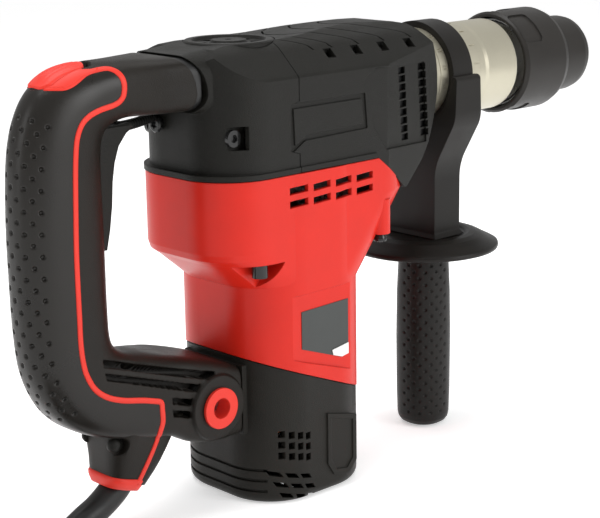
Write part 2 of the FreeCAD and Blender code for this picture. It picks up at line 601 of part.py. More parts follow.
def rounded_outline(corners, y):
    """A closed wire in X and Z; each corner is (x, z, radius)."""
    points = [vec(x, y, z) for x, z, _ in corners]
    count = len(corners)
    starts = []
    ends = []
    mids = []
    for k in range(count):
        here = points[k]
        back = (points[k - 1] - here).normalize()
        ahead = (points[(k + 1) % count] - here).normalize()
        radius = corners[k][2]
        if radius == 0:
            starts.append(here)
            ends.append(here)
            mids.append(None)
            continue
        half = back.getAngle(ahead) / 2
        reach = radius / math.tan(half)
        starts.append(here + back * reach)
        ends.append(here + ahead * reach)
        bisector = (back + ahead).normalize()
        mids.append(here + bisector * (radius / math.sin(half) - radius))
    edges = []
    for k in range(count):
        if mids[k] is not None:
            edges.append(Part.Arc(starts[k], mids[k], ends[k]).toShape())
        following = starts[(k + 1) % count]
        if ends[k].distanceToPoint(following) > 1e-6:
            edges.append(Part.LineSegment(ends[k], following).toShape())
    return Part.Wire(edges)


def handle_prism(inset, half):
    face = Part.Face(rounded_outline(HANDLE_OUTLINE, -half))
    if inset > 0:
        face = face.makeOffset2D(-inset)
    return face.extrude(vec(0, 2 * half, 0))


def slider_shape(length, half, height, start):
    """A bar that lies along the button's way, from start millimetres past the seat's rear end."""
    bar = Part.makeBox(length, 2 * half, height, vec(start, -half, 0))
    bar.Placement = FreeCAD.Placement(SLIDER_BASE, FreeCAD.Rotation(X_AXIS, SLIDE_DIR))
    return bar


def handle_shells():
    outer = handle_prism(0, HANDLE_HALF).fuse(end_loft(BAR_SECTIONS))
    arm = handle_prism(0, ARM_HALF).common(block(-104, 0, -60, 60, 0, 120))
    collar = rod(19, vec(PIVOT_X, -ARM_HALF - 2.4, PIVOT_Z), Y_AXIS, 2 * ARM_HALF + 4.8)
    body = outer.fuse([arm, collar.common(block(-104, -47.2, -60, 60, 43, 86))])
    hollow = handle_prism(WALL, HANDLE_HALF - WALL).fuse(end_loft(BAR_SECTIONS[:-1], WALL))
    hollow = hollow.fuse(handle_prism(WALL, ARM_HALF - WALL).common(block(-101, 0, -60, 60, 0, 120)))
    mouth = block(-60, -40, -ARM_HALF + WALL, ARM_HALF - WALL, 47, 80)
    body = body.cut(hollow.fuse(mouth))
    body = body.cut(neck_zone(-BELLOWS_GAP).fuse(block(-74, -40, -40, 40, 220, 280)))
    body = body.cut(rod(10.0, vec(PIVOT_X, -40, PIVOT_Z), Y_AXIS, 80))
    body = body.cut(block(-150, -98, -8.8, 8.8, 164.5, 236.5))
    hub = tube(5.0, 2.5 + RUN, vec(TRIGGER_X, 9.2, TRIGGER_Z), Y_AXIS, 6.0)
    body = body.fuse(both_sides(hub))
    body = body.cut(slider_shape(48, 10.4, 30, -1.3))
    grooves = []
    for x0, x1, z0, z1 in ((-141, -70, 100, 84.5), (-140, -80, 95.5, 80.5), (-97, -83, 78.0, 74.6),
                           (-96.5, -85, 70.6, 67.6)):
        grooves.append(side_prism([(x0, z0), (x1, z1), (x1, z1 + 3.4), (x0, z0 + 3.4)], ARM_HALF + 3,
                                  ARM_HALF - 1.4))
    cuts = []
    for groove in grooves:
        cuts += both_sides(groove)
    body = body.cut(Part.makeCompound(cuts))
    pad = grip_pad_zone()
    body = body.cut(pad)
    left = body.common(block(-200, 0, 0.1, 60, 0, 300)).cut(inlay(1))
    right = body.common(block(-200, 0, -60, -0.1, 0, 300)).cut(inlay(-1))
    return left, right


def trigger():
    """The long trigger, which follows the grip's inner corner and swings on two stub shafts."""
    edge = Part.makePolygon([vec(x, -8.0, z) for x, z in TRIGGER_OUTLINE + TRIGGER_OUTLINE[:1]])
    face = Part.Face(edge)
    slim = face.makeOffset2D(-1.2).extrude(vec(0, 16.0, 0))
    face.translate(vec(0, 1.2, 0))
    blade = face.extrude(vec(0, 13.6, 0)).fuse(slim)
    blade = blade.common(block(-144, -100, -9, 9, 165.0, 233.6))
    return blade.fuse(rod(2.5, vec(TRIGGER_X, -13.8, TRIGGER_Z), Y_AXIS, 27.6))


def grip_pad_zone():
    band = handle_prism(0, HANDLE_HALF).cut(handle_prism(2.2, HANDLE_HALF + 5))
    return band.common(block(-200, -160, -30, 30, 84, 246))


def inlay(sign):
    """The 3 mm coloured line let into the handle's side."""
    inner = HANDLE_HALF - 0.6
    parts = []
    for (x0, z0), (x1, z1) in zip(INLAY_PATH, INLAY_PATH[1:]):
        long = math.hypot(x1 - x0, z1 - z0)
        bar = Part.makeBox(long, 1.2, 2.8, vec(0, 0, -1.4))
        bar.Placement = FreeCAD.Placement(vec(x0, inner, z0), FreeCAD.Rotation(
            Y_AXIS, -math.degrees(math.atan2(z1 - z0, x1 - x0))))
        parts.append(bar)
        parts.append(rod(1.4, vec(x1, inner, z1), Y_AXIS, 1.2))
    line = parts[0].fuse(parts[1:]).removeSplitter()
    return line if sign > 0 else line.mirror(vec(0, 0, 0), Y_AXIS)


def bellows():
    """The rubber ring between the handle bar and the gear cover's neck."""
    ring = end_loft([(-95,) + BAR_END, (-60,) + BAR_END], 1.2)
    ring = ring.cut(end_loft([(-96,) + BAR_END, (-59,) + BAR_END], 5.5))
    ring = ring.common(neck_zone(0.1 - BELLOWS_GAP)).cut(neck_zone(-0.1))
    return ring.cut(block(UPPER_REAR - 0.1, 0, -60, 60, 200, 300))


def cord_boot():
    wire = rounded_outline([(-135.5, 61.0, 0), (-135.5, 40, 14), (-133, 31.0, 4), (-110, 24.5, 4), (-102, 33, 6),
                            (-90.5, 54.0, 0)], -16)
    body = Part.Face(wire).extrude(vec(0, 32, 0))
    body = body.common(rod(30, vec(-116, -30, 0), Z_AXIS, 80).fuse(block(-150, -80, -16, 16, 20, 80)))
    for side in both_sides(rod(5.2, vec(-124, -20, 50), Y_AXIS, 8)):
        body = body.cut(side)
    return body.cut(cord_guard())


def cord_guard():
    """The bent, tapering strain relief of the lead."""
    points = [vec(x, y, z) for x, y, z, _ in GUARD_PATH]
    wires = []
    for k, (x, y, z, radius) in enumerate(GUARD_PATH):
        ahead = points[min(k + 1, len(points) - 1)] - points[max(k - 1, 0)]
        wires.append(Part.Wire(Part.makeCircle(radius, points[k], ahead)))
    return Part.makeLoft(wires, True, False)


def rounded_path(route):
    """Straight runs joined by tangent arcs of 0.45 of the shorter run over the tangent of half the turn."""
    points = [vec(*p) for p in route]
    edges = []
    last = points[0]
    for k in range(1, len(points) - 1):
        back = points[k - 1] - points[k]
        ahead = points[k + 1] - points[k]
        short = 0.45 * min(back.Length, ahead.Length)
        back.normalize()
        ahead.normalize()
        half_turn = (math.pi - back.getAngle(ahead)) / 2
        radius = short / math.tan(half_turn)
        print("cord arc radius", round(radius, 1))
        start = points[k] + back * short
        stop = points[k] + ahead * short
        bisector = (back + ahead).normalize()
        middle = points[k] + bisector * (radius / math.cos(half_turn) - radius)
        edges.append(Part.LineSegment(last, start).toShape())
        edges.append(Part.Arc(start, middle, stop).toShape())
        last = stop
    edges.append(Part.LineSegment(last, points[-1]).toShape())
    return Part.Wire(edges)


def cord_tube():
    path = rounded_path(CORD_ROUTE)
    start = vec(*CORD_ROUTE[0])
    direction = vec(*CORD_ROUTE[1]) - start
    circle = Part.Wire(Part.makeCircle(CORD_R, start, direction))
    pipe = path.makePipeShell([circle], True, False)
    print("cord tube volume over section times length",
          round(pipe.Volume / (math.pi * CORD_R ** 2 * path.Length), 4), "length", round(path.Length, 1))
    return pipe


def plug():
    """A flat two-pin plug that lies on the coil: a tapered body with two round pins."""
    frame = FreeCAD.Placement(PLUG_BACK, FreeCAD.Rotation(X_AXIS, PLUG_DIR))
    outline = [(0, 6.0), (14, 7.0), (20, 12.0), (34, 17.0), (40, 17.0), (42, 15.0)]
    points = outline + [(x, -y) for x, y in reversed(outline)]
    body = Part.Face(Part.makePolygon([vec(x, y, -8.8) for x, y in points + points[:1]])).extrude(vec(0, 0, 17.6))
    side = Part.makePolygon([vec(x, -30, z) for x, z in ((0, -6), (18, -8.8), (42, -8.8), (42, 8.8), (18, 8.8),
                                                         (0, 6), (0, -6))])
    body = body.common(Part.Face(side).extrude(vec(0, 60, 0)))
    pins = [rod(2.4, vec(41, y, 0), X_AXIS, 20).fuse(Part.makeSphere(2.4, vec(61, y, 0))) for y in (-9.5, 9.5)]
    body = body.fuse(pins)
    body.Placement = frame
    return body


def save_casings():
    save("motor_cap", motor_cap())
    save("motor_housing", motor_housing())
    rear, front = gear_covers()
    save("gear_cover_rear", rear)
    save("gear_cover_front", front)
    save("grease_cap", grease_cap())
    save("mode_selector", mode_selector())
    save("crankcase", crankcase())
    save("barrel", barrel())


def save_fittings():
    """Bearings, stator, brushes, plate and screws that belong to the housing."""
    save("barrel_bearing", tube(24.0, 15.0 + RUN, vec(170, 0, SPINDLE_Z), X_AXIS, 13.8))
    save("cylinder_bearing", tube(24.0, 20.0 + RUN, vec(58, 0, SPINDLE_Z), X_AXIS, 8))
    stator = tube(42.0, 26.5, vec(0, 0, 62), Z_AXIS, 50)
    save("stator_core", stator)
    save("field_coils", tube(39.0, 28.0, vec(0, 0, 50), Z_AXIS, 12), tube(39.0, 28.0, vec(0, 0, 112), Z_AXIS, 11))
    save("upper_bearing", tube(11.0, 5.0 + RUN, vec(0, 0, 160.5), Z_AXIS, 7))
    save("lower_bearing", tube(11.0, 5.0 + RUN, vec(0, 0, 6.0), Z_AXIS, 7))
    save("shaft_bearings", tube(9.0, 5.0 + RUN, vec(CRANK_X, 0, 160.5), Z_AXIS, 7),
         tube(9.0, 5.0 + RUN, vec(LAYSHAFT_X, 0, 160.5), Z_AXIS, 7))
    holders = block(16.5, 40.0, -6.5, 6.5, 31.0, 45.0).cut(block(10, 36, -4, 4, 34, 42))
    brush = block(14.4, 30.0, -3.9, 3.9, 34.1, 41.9).cut(rod(14.4, vec(0, 0, 30), Z_AXIS, 20))
    turned_holder = holders.mirror(vec(0, 0, 0), X_AXIS)
    turned_brush = brush.mirror(vec(0, 0, 0), X_AXIS)
    save("brush_holders", holders, turned_holder)
    save("carbon_brushes", brush, turned_brush)
    save("pivot_pin", rod(5.95, vec(PIVOT_X, -20, PIVOT_Z), Y_AXIS, 40))
    plate = side_prism([(-16.5, 116), (21.3, 117), (21.3, 83), (15.5, 82), (-16.5, 93.5)], LABEL_Y, LABEL_Y - 0.4)
    save("rating_plate", plate)
    head = rod(4.8, vec(SCREW_X, SCREW_SEAT_Y - 2.6, SCREW_Z), Y_AXIS, 2.6)
    save("cover_screws", *both_sides(head.cut(rod(2.2, vec(SCREW_X, SCREW_SEAT_Y - 3, SCREW_Z), Y_AXIS, 2.2))))
    bolt = rod(4.6, vec(-43, -39.5, 141.0), Z_AXIS, 7.5)
    save("housing_screws", *both_sides(bolt.cut(rod(2.2, vec(-43, -39.5, 140.5), Z_AXIS, 3.5))))


def save_armature():
    core = tube(25.6, 5.0, vec(0, 0, 64), Z_AXIS, 46)
    slots = []
    for k in range(12):
        slot = block(17, 30, -1.2, 1.2, 60, 114)
        slot.rotate(vec(0, 0, 0), Z_AXIS, 30 * k)
        slots.append(slot)
    save("armature_core", core.cut(Part.makeCompound(slots)))
    shaft = rod(5.0, vec(0, 0, 5.5), Z_AXIS, GEAR_Z - 7.5)
    pinion = involute_gear(PINION_TEETH, 10, 0, 0, GEAR_Z)
    save("armature_shaft", shaft.fuse([rod(3.6, vec(0, 0, 164), Z_AXIS, 9), pinion]))
    save("commutator", tube(14.0, 5.0, vec(0, 0, 31), Z_AXIS, 15))
    hub = tube(12, 5.0, vec(0, 0, 127), Z_AXIS, 14).fuse(tube(37, 11, vec(0, 0, 127), Z_AXIS, 2))
    blades = []
    for k in range(12):
        blade = block(11, 36, -0.9, 0.9, 128.5, 140)
        blade.rotate(vec(11, 0, 0), Z_AXIS, 28)
        blade.rotate(vec(0, 0, 0), Z_AXIS, 30 * k)
        blades.append(blade)
    save("cooling_fan", hub.fuse(blades))


def save_gears():
    save("crank_gear", involute_gear(CRANK_TEETH, 8, 5.0, CRANK_X, GEAR_Z + 1))
    crank = rod(5.0, vec(CRANK_X, 0, 160.8), Z_AXIS, 26).fuse(rod(19, vec(CRANK_X, 0, 186), Z_AXIS, 12))
    pin = rod(5.0, vec(CRANK_X + CRANK_THROW, 0, 197), Z_AXIS, 31.5)
    save("crank_shaft", crank.fuse(pin))
    save("layshaft_gear", involute_gear(LAYSHAFT_TEETH, 8, 5.0, LAYSHAFT_X, GEAR_Z + 1))
    bevel = bevel_wheel(12, 12.0, 30.0, 3.2, vec(LAYSHAFT_X, 0, SPINDLE_Z - 30.6), Z_AXIS)
    stem = rod(5.0, vec(LAYSHAFT_X, 0, 160.8), Z_AXIS, 44.0).fuse(rod(8.6, vec(LAYSHAFT_X, 0, 200), Z_AXIS, 5.4))
    save("bevel_pinion", stem.fuse(bevel))


def save_percussion():
    wrist_pin = rod(4.0, vec(32, -14.8, SPINDLE_Z), Y_AXIS, 29.6)
    piston = tube(17.0 - RUN, 13.0, vec(24, 0, SPINDLE_Z), X_AXIS, 26).fuse(rod(14, vec(44, 0, SPINDLE_Z), X_AXIS, 6))
    save("piston", piston.cut(wrist_pin))
    save("wrist_pin", wrist_pin)
    big_end = rod(8.5, vec(CRANK_X + CRANK_THROW, 0, 229.2), Z_AXIS, 13.6)
    small_end = rod(7.0, vec(32, -6.8, SPINDLE_Z), Y_AXIS, 13.6)
    beam = block(CRANK_X + CRANK_THROW, 32, -4.5, 4.5, 231, 241)
    conrod = beam.fuse([big_end, small_end]).cut(rod(4.0, vec(32, -20, SPINDLE_Z), Y_AXIS, 40))
    save("connecting_rod", conrod)
    save("striker", rod(17.0 - RUN, vec(60, 0, SPINDLE_Z), X_AXIS, 24).fuse(rod(7, vec(84, 0, SPINDLE_Z), X_AXIS, 14)))
    save("cylinder", tube(20.0, 17.0, vec(14, 0, SPINDLE_Z), X_AXIS, 86.8))
    ring = bevel_wheel(30, 30.0, 12.0, 8.0, vec(LAYSHAFT_X + 12.4, 0, SPINDLE_Z), vec(-1, 0, 0))
    back = rod(27, vec(LAYSHAFT_X + 12.4, 0, SPINDLE_Z), X_AXIS, 5)
    ring = ring.fuse(back).cut(rod(20.0, vec(0, 0, SPINDLE_Z), X_AXIS, 80))
    save("bevel_ring", ring)
    save("spindle", spindle())
    save("lock_collar", tube(26.6, 15.0, vec(205, 0, SPINDLE_Z), X_AXIS, 36))
    save("nose_cap", nose_cap())
    save("chuck_sleeve", chuck_sleeve())
    save("sleeve_spring", helix_spring(28.5, 0.55, 201.4, 212.0, 3))


def save_side_handle():
    save("side_strap", tube(33.5, BARREL_R + RUN, vec(SIDE_X - 9, 0, SPINDLE_Z), X_AXIS, 18))
    save("side_yoke", side_yoke())
    save("guard_disc", guard_disc())
    save("side_grip", side_grip())
    save("grip_bolt", grip_bolt())


def save_rear_handle():
    left, right = handle_shells()
    save("handle_shell_left", left)
    save("handle_shell_right", right)
    save("handle_pad", grip_pad_zone())
    save("inlay_left", inlay(1))
    save("inlay_right", inlay(-1))
    bush = tube(9.9, 6.0, vec(PIVOT_X, -ARM_HALF - 2.6, PIVOT_Z), Y_AXIS, 14)
    bush = bush.fuse(tube(12.0, 6.0, vec(PIVOT_X, -ARM_HALF - 4.4, PIVOT_Z), Y_AXIS, 1.9))
    save("pivot_bushes", *both_sides(bush))
    save("switch_module", block(-171, -151, -10, 10, 176, 226))
    save("trigger", trigger())
    button = slider_shape(27, 10.0, 7.0, -1)
    save("lock_slider", button.common(handle_prism(0, HANDLE_HALF)))
    save("bellows", bellows())
    save("cord_boot", cord_boot().cut(left.fuse(right)))
    save("cord_guard", cord_guard())


def save_lead():
    save("cord_tube", cord_tube())
    save("plug", plug())
    save("cord_coil", tube(COIL_OUTER, COIL_INNER, vec(COIL_X, COIL_Y, 0), Z_AXIS, COIL_HEIGHT))


save_casings()
save_fittings()
save_armature()
save_gears()
save_percussion()
save_side_handle()
save_rear_handle()
save_lead()
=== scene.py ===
import math

import bmesh
import bpy
import numpy as np
from mathutils import Matrix, Vector
from mathutils.bvhtree import BVHTree


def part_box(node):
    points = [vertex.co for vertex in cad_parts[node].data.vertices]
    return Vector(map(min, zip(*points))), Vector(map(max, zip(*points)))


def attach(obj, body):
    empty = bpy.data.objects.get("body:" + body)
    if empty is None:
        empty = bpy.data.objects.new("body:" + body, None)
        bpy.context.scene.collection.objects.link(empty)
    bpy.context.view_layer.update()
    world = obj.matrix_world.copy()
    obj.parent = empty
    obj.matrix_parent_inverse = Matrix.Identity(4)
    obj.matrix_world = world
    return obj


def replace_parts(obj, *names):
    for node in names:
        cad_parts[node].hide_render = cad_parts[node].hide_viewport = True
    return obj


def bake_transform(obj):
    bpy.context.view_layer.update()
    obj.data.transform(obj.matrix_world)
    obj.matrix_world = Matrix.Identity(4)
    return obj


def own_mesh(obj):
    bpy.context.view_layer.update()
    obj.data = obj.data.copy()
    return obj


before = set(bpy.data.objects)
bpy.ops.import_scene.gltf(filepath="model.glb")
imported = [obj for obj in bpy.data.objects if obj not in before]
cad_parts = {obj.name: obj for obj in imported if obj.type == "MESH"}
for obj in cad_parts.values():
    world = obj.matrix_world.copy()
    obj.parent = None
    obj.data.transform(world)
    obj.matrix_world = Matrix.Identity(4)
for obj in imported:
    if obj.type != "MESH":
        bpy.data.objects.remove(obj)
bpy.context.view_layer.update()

MM = 0.001
COLLECTION = bpy.context.scene.collection


# ---------------------------------------------------------------- camera, light and floor

CAMERA_PLACE = (-0.6438, -0.7173, 0.3771)
CAMERA_HEADING = 47.0
CAMERA_PITCH = 14.0
CAMERA_ROLL = -0.9
CAMERA_LENS = 99.0
SENSOR_WIDTH = 36.0


def make_camera():
    """The photograph's view: from behind the tool's right side, a little above it."""
    camera = bpy.data.cameras.new("camera")
    camera.sensor_width = SENSOR_WIDTH
    camera.lens = CAMERA_LENS
    camera.clip_end = 20.0
    holder = bpy.data.objects.new("camera", camera)
    COLLECTION.objects.link(holder)
    heading, pitch, roll = math.radians(CAMERA_HEADING), math.radians(CAMERA_PITCH), math.radians(CAMERA_ROLL)
    turn = Matrix.Rotation(heading - math.pi / 2, 4, "Z") @ Matrix.Rotation(math.pi / 2 - pitch, 4, "X")
    holder.matrix_world = Matrix.Translation(CAMERA_PLACE) @ turn @ Matrix.Rotation(roll, 4, "Z")
    bpy.context.scene.camera = holder


def area_light(name, place, target, width, height, power):
    """A white softbox aimed at the target, its power in watts."""
    light = bpy.data.lights.new(name, "AREA")
    light.shape = "RECTANGLE"
    light.size, light.size_y = width, height
    light.energy = power
    holder = bpy.data.objects.new(name, light)
    holder.location = place
    holder.rotation_euler = (Vector(target) - Vector(place)).to_track_quat("-Z", "Y").to_euler()
    COLLECTION.objects.link(holder)


def make_stage():
    """A white paper floor, a white world and three softboxes."""
    reach = 4.0
    corners = [(-reach, -reach, 0), (reach, -reach, 0), (reach, reach, 0), (-reach, reach, 0)]
    mesh = bpy.data.meshes.new("floor")
    mesh.from_pydata(corners, [], [(0, 1, 2, 3)])
    floor = bpy.data.objects.new("floor", mesh)
    COLLECTION.objects.link(floor)
    paper = simple_material("floor_paper", (0.95, 0.95, 0.95), 0.9)
    shader = paper.node_tree.nodes["Principled BSDF"]
    shader.inputs["Specular IOR Level"].default_value = 0.1
    shader.inputs["Emission Color"].default_value = (1, 1, 1, 1)
    shader.inputs["Emission Strength"].default_value = 0.42
    floor.data.materials.append(paper)
    world = bpy.data.worlds.new("studio")
    bpy.context.scene.world = world
    world.use_nodes = True
    background = world.node_tree.nodes["Background"]
    background.inputs[0].default_value = (1, 1, 1, 1)
    background.inputs[1].default_value = 0.58
    centre = (0.02, 0, 0.14)
    area_light("top_softbox", (-0.1, 0.1, 1.5), centre, 1.0, 1.0, 14)
    area_light("left_softbox", (-1.3, 0.3, 0.6), centre, 0.4, 0.9, 3)
    area_light("right_softbox", (0.45, -1.3, 0.55), centre, 0.7, 0.7, 8.5)
    bpy.context.scene.view_settings.view_transform = "Standard"


# ---------------------------------------------------------------- materials

def simple_material(name, colour, rough, metal=0.0):
    """One colour, one roughness."""
    material = bpy.data.materials.new(name)
    material.use_nodes = True
    shader = material.node_tree.nodes["Principled BSDF"]
    shader.inputs["Base Color"].default_value = (*colour, 1)
    shader.inputs["Roughness"].default_value = rough
    shader.inputs["Metallic"].default_value = metal
    return material


def add_node(tree, kind, **settings):
    """A shader node; each setting goes to the input of that name or, failing that, to the node itself."""
    node = tree.nodes.new(kind)
    for key, value in settings.items():
        if key in node.inputs:
            node.inputs[key].default_value = value
        else:
            setattr(node, key.lower(), value)
    return node


def moulded(name, colour, rough, grain=1800.0, depth=0.00006, spread=0.10, edge=0.0009,
            specular=0.5, metal=0.0, light=1.25, stretch=None):
    """A moulded or cast surface: fine grain, patchy sheen, slight tone drift and softened edges.

    The grain's depth and the radius of the softened edges are lengths; fine_share is how much of the sheen
    and tone comes from the fine grain, the rest being patches.
    """
    fine_share = 0.35
    material = simple_material(name, colour, rough, metal)
    tree = material.node_tree
    link = tree.links.new
    shader = tree.nodes["Principled BSDF"]
    shader.inputs["Specular IOR Level"].default_value = specular
    place = add_node(tree, "ShaderNodeTexCoord")
    source = place.outputs["Object"]
    if stretch:
        mapping = add_node(tree, "ShaderNodeMapping", Scale=stretch)
        link(source, mapping.inputs["Vector"])
        source = mapping.outputs["Vector"]
    fine = add_node(tree, "ShaderNodeTexNoise", Scale=grain, Detail=3.0, Roughness=0.6)
    link(source, fine.inputs["Vector"])
    patch = add_node(tree, "ShaderNodeTexNoise", Scale=38.0, Detail=4.0, Roughness=0.55)
    link(place.outputs["Object"], patch.inputs["Vector"])
    rough_map = add_node(tree, "ShaderNodeMapRange")
    rough_map.inputs["From Min"].default_value = 0.3
    rough_map.inputs["From Max"].default_value = 0.7
    rough_map.inputs["To Min"].default_value = max(0.05, rough - spread)
    rough_map.inputs["To Max"].default_value = min(1.0, rough + spread)
    mixed = add_node(tree, "ShaderNodeMath", operation="ADD")
    for k, (noise, share) in enumerate(((fine, fine_share), (patch, 1 - fine_share))):
        part = add_node(tree, "ShaderNodeMath", operation="MULTIPLY")
        part.inputs[1].default_value = share
        link(noise.outputs["Fac"], part.inputs[0])
        link(part.outputs[0], mixed.inputs[k])
    link(mixed.outputs[0], rough_map.inputs["Value"])
    link(rough_map.outputs["Result"], shader.inputs["Roughness"])
    ramp = add_node(tree, "ShaderNodeValToRGB")
    ramp.color_ramp.elements[0].position = 0.35
    ramp.color_ramp.elements[0].color = (*[c / light ** 0.5 for c in colour], 1)
    ramp.color_ramp.elements[1].position = 0.68
    ramp.color_ramp.elements[1].color = (*[min(1, c * light ** 0.5) for c in colour], 1)
    link(mixed.outputs[0], ramp.inputs["Fac"])
    link(ramp.outputs["Color"], shader.inputs["Base Color"])
    bump = add_node(tree, "ShaderNodeBump", Strength=1.0, Distance=depth)
    link(fine.outputs["Fac"], bump.inputs["Height"])
    if edge > 0:
        bevel = add_node(tree, "ShaderNodeBevel", Radius=edge)
        bevel.samples = 4
        link(bevel.outputs["Normal"], bump.inputs["Normal"])
    link(bump.outputs["Normal"], shader.inputs["Normal"])
    return material


def make_materials():
    """Every material of the tool, by the short key that NODE_FINISH and the makers below use."""
    m = {}
    m["red"] = moulded("red_abs", (0.60, 0.018, 0.009), 0.34, grain=1500, depth=0.00003, spread=0.05,
                       light=1.10, specular=0.22)
    m["black"] = moulded("black_abs", (0.0100, 0.0096, 0.0080), 0.42, grain=1500, depth=0.00030,
                         specular=0.16, light=1.5)
    m["cap"] = moulded("cap_abs", (0.0115, 0.0104, 0.0082), 0.40, grain=1500, depth=0.00022,
                       specular=0.16, light=1.5)
    m["handle"] = moulded("handle_abs", (0.0125, 0.0105, 0.0084), 0.40, grain=1500, depth=0.00020,
                          specular=0.17, light=1.5)
    m["pad"] = moulded("grip_rubber", (0.0095, 0.0080, 0.0063), 0.31, grain=1500, depth=0.00006, edge=0,
                       specular=0.30, light=1.4)
    m["red_soft"] = moulded("red_rubber", (0.72, 0.034, 0.020), 0.42, grain=1400, depth=0.00003,
                            light=1.06, specular=0.28)
    m["metal"] = moulded("champagne_metal", (0.50, 0.47, 0.37), 0.36, grain=700, depth=0.000004,
                         spread=0.03, metal=0.80, edge=0.0004, light=1.05)
    m["sleeve"] = moulded("sleeve_abs", (0.0200, 0.0180, 0.0160), 0.40, grain=1600, depth=0.00008,
                          specular=0.20, light=1.4)
    m["side"] = moulded("side_abs", (0.0105, 0.0094, 0.0082), 0.40, grain=1600, depth=0.00008,
                        specular=0.17, light=1.4)
    m["plate"] = moulded("plate_film", (0.040, 0.044, 0.042), 0.38, depth=0.00001, edge=0.0002,
                         specular=0.35)
    m["steel"] = moulded("ground_steel", (0.50, 0.50, 0.51), 0.28, grain=1200, depth=0.00001,
                         metal=1.0, edge=0.0003)
    m["screw"] = moulded("black_oxide", (0.022, 0.022, 0.022), 0.16, depth=0.00001, metal=0.5, edge=0.0003)
    m["copper"] = moulded("enamelled_copper", (0.52, 0.20, 0.09), 0.35, metal=0.9, stretch=(0.2, 0.2, 1.0))
    m["lamination"] = moulded("lamination", (0.16, 0.16, 0.17), 0.5, metal=0.8, stretch=(0.1, 0.1, 1.0))
    m["alloy"] = moulded("cast_alloy", (0.40, 0.40, 0.40), 0.5, grain=700, depth=0.0002, metal=0.9)
    m["carbon"] = moulded("carbon", (0.02, 0.02, 0.02), 0.6)
    m["brass"] = moulded("brass", (0.60, 0.44, 0.18), 0.3, metal=1.0)
    m["cream"] = moulded("inner_plastic", (0.10, 0.10, 0.09), 0.5)
    m["cord"] = moulded("cord_rubber", (0.0085, 0.0085, 0.0080), 0.40, grain=900, depth=0.00004, edge=0,
                        specular=0.4)
    m["bellows"] = moulded("bellows_rubber", (0.006, 0.006, 0.006), 0.45, grain=900)
    m["white"] = moulded("label_white", (0.78, 0.78, 0.76), 0.4, depth=0.00001, edge=0.0001)
    return m


NODE_FINISH = {
    "red": ["motor_housing"],
    "black": ["gear_cover_rear", "gear_cover_front", "grease_cap", "mode_selector", "trigger"],
    "cap": ["motor_cap"],
    "metal": ["barrel"],
    "sleeve": ["chuck_sleeve", "nose_cap"],
    "side": ["side_strap", "side_yoke", "guard_disc", "side_grip"],
    "handle": ["handle_shell_left", "handle_shell_right", "cord_boot"],
    "pad": ["handle_pad"],
    "red_soft": ["inlay_left", "inlay_right", "pivot_bushes", "lock_slider"],
    "plate": ["rating_plate"],
    "steel": ["barrel_bearing", "cylinder_bearing", "upper_bearing", "lower_bearing", "shaft_bearings",
              "pivot_pin", "armature_shaft", "crank_gear", "crank_shaft", "layshaft_gear", "bevel_pinion",
              "wrist_pin", "striker", "cylinder", "bevel_ring", "spindle", "lock_collar", "sleeve_spring",
              "grip_bolt"],
    "screw": ["cover_screws", "housing_screws"],
    "copper": ["field_coils", "commutator"],
    "lamination": ["stator_core", "armature_core"],
    "alloy": ["crankcase", "piston", "connecting_rod"],
    "carbon": ["carbon_brushes"],
    "brass": ["brush_holders"],
    "cream": ["cooling_fan", "switch_module"],
    "cord": ["cord_guard", "cord_tube", "cord_coil", "plug"],
    "bellows": ["bellows"],
}


def dress_nodes(m):
    """The engineering nodes take their materials, whether they show or a piece stands in for them."""
    for key, names in NODE_FINISH.items():
        for name in names:
            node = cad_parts[name]
            node.data.materials.clear()
            node.data.materials.append(m[key])


# ---------------------------------------------------------------- mesh helpers

def mesh_object(name, points, faces, material, smooth=True):
    """An object made of points in millimetres, its faces turned outwards."""
    mesh = bpy.data.meshes.new(name)
    mesh.from_pydata([tuple(MM * c for c in p) for p in points], [], faces)
    mesh.update()
    piece = bpy.data.objects.new(name, mesh)
    COLLECTION.objects.link(piece)
    mesh.materials.append(material)
    if smooth:
        mesh.polygons.foreach_set("use_smooth", [True] * len(mesh.polygons))
    fix = bmesh.new()
    fix.from_mesh(mesh)
    bmesh.ops.recalc_face_normals(fix, faces=fix.faces)
    fix.to_mesh(mesh)
    fix.free()
    return piece


def apply_modifiers(piece):
    """Replaces the piece's mesh with what its modifiers make of it."""
    graph = bpy.context.evaluated_depsgraph_get()
    made = bpy.data.meshes.new_from_object(piece.evaluated_get(graph), depsgraph=graph)
    piece.modifiers.clear()
    piece.data = made


def cut_with(piece, cutters):
    """Takes the cutters out of the piece, then removes them."""
    bpy.context.view_layer.update()
    for cutter in cutters:
        cut = piece.modifiers.new("cut", "BOOLEAN")
        cut.operation = "DIFFERENCE"
        cut.solver = "EXACT"
        cut.object = cutter
    apply_modifiers(piece)
    for cutter in cutters:
        bpy.data.objects.remove(cutter)


def solid_between(name, first, last, material):
    """A flat-sided solid between two outlines that have the same number of points."""
    count = len(first)
    faces = [tuple(range(count)), tuple(range(2 * count - 1, count - 1, -1))]
    faces += [(k, count + k, count + (k + 1) % count, (k + 1) % count) for k in range(count)]
    return mesh_object(name, first + last, faces, material, smooth=False)


def catmull(values, t):
    """Smooth values at the places t, given one row of values per whole number."""
    values = np.asarray(values, float)
    last = len(values) - 1
    k = np.clip(np.floor(t).astype(int), 0, last - 1)
    f = (t - k)[:, None]
    p0 = values[np.maximum(k - 1, 0)]
    p1 = values[k]
    p2 = values[k + 1]
    p3 = values[np.minimum(k + 2, last)]
    return 0.5 * (2 * p1 + (p2 - p0) * f + (2 * p0 - 5 * p1 + 4 * p2 - p3) * f ** 2
                  + (3 * p1 - p0 - 3 * p2 + p3) * f ** 3)


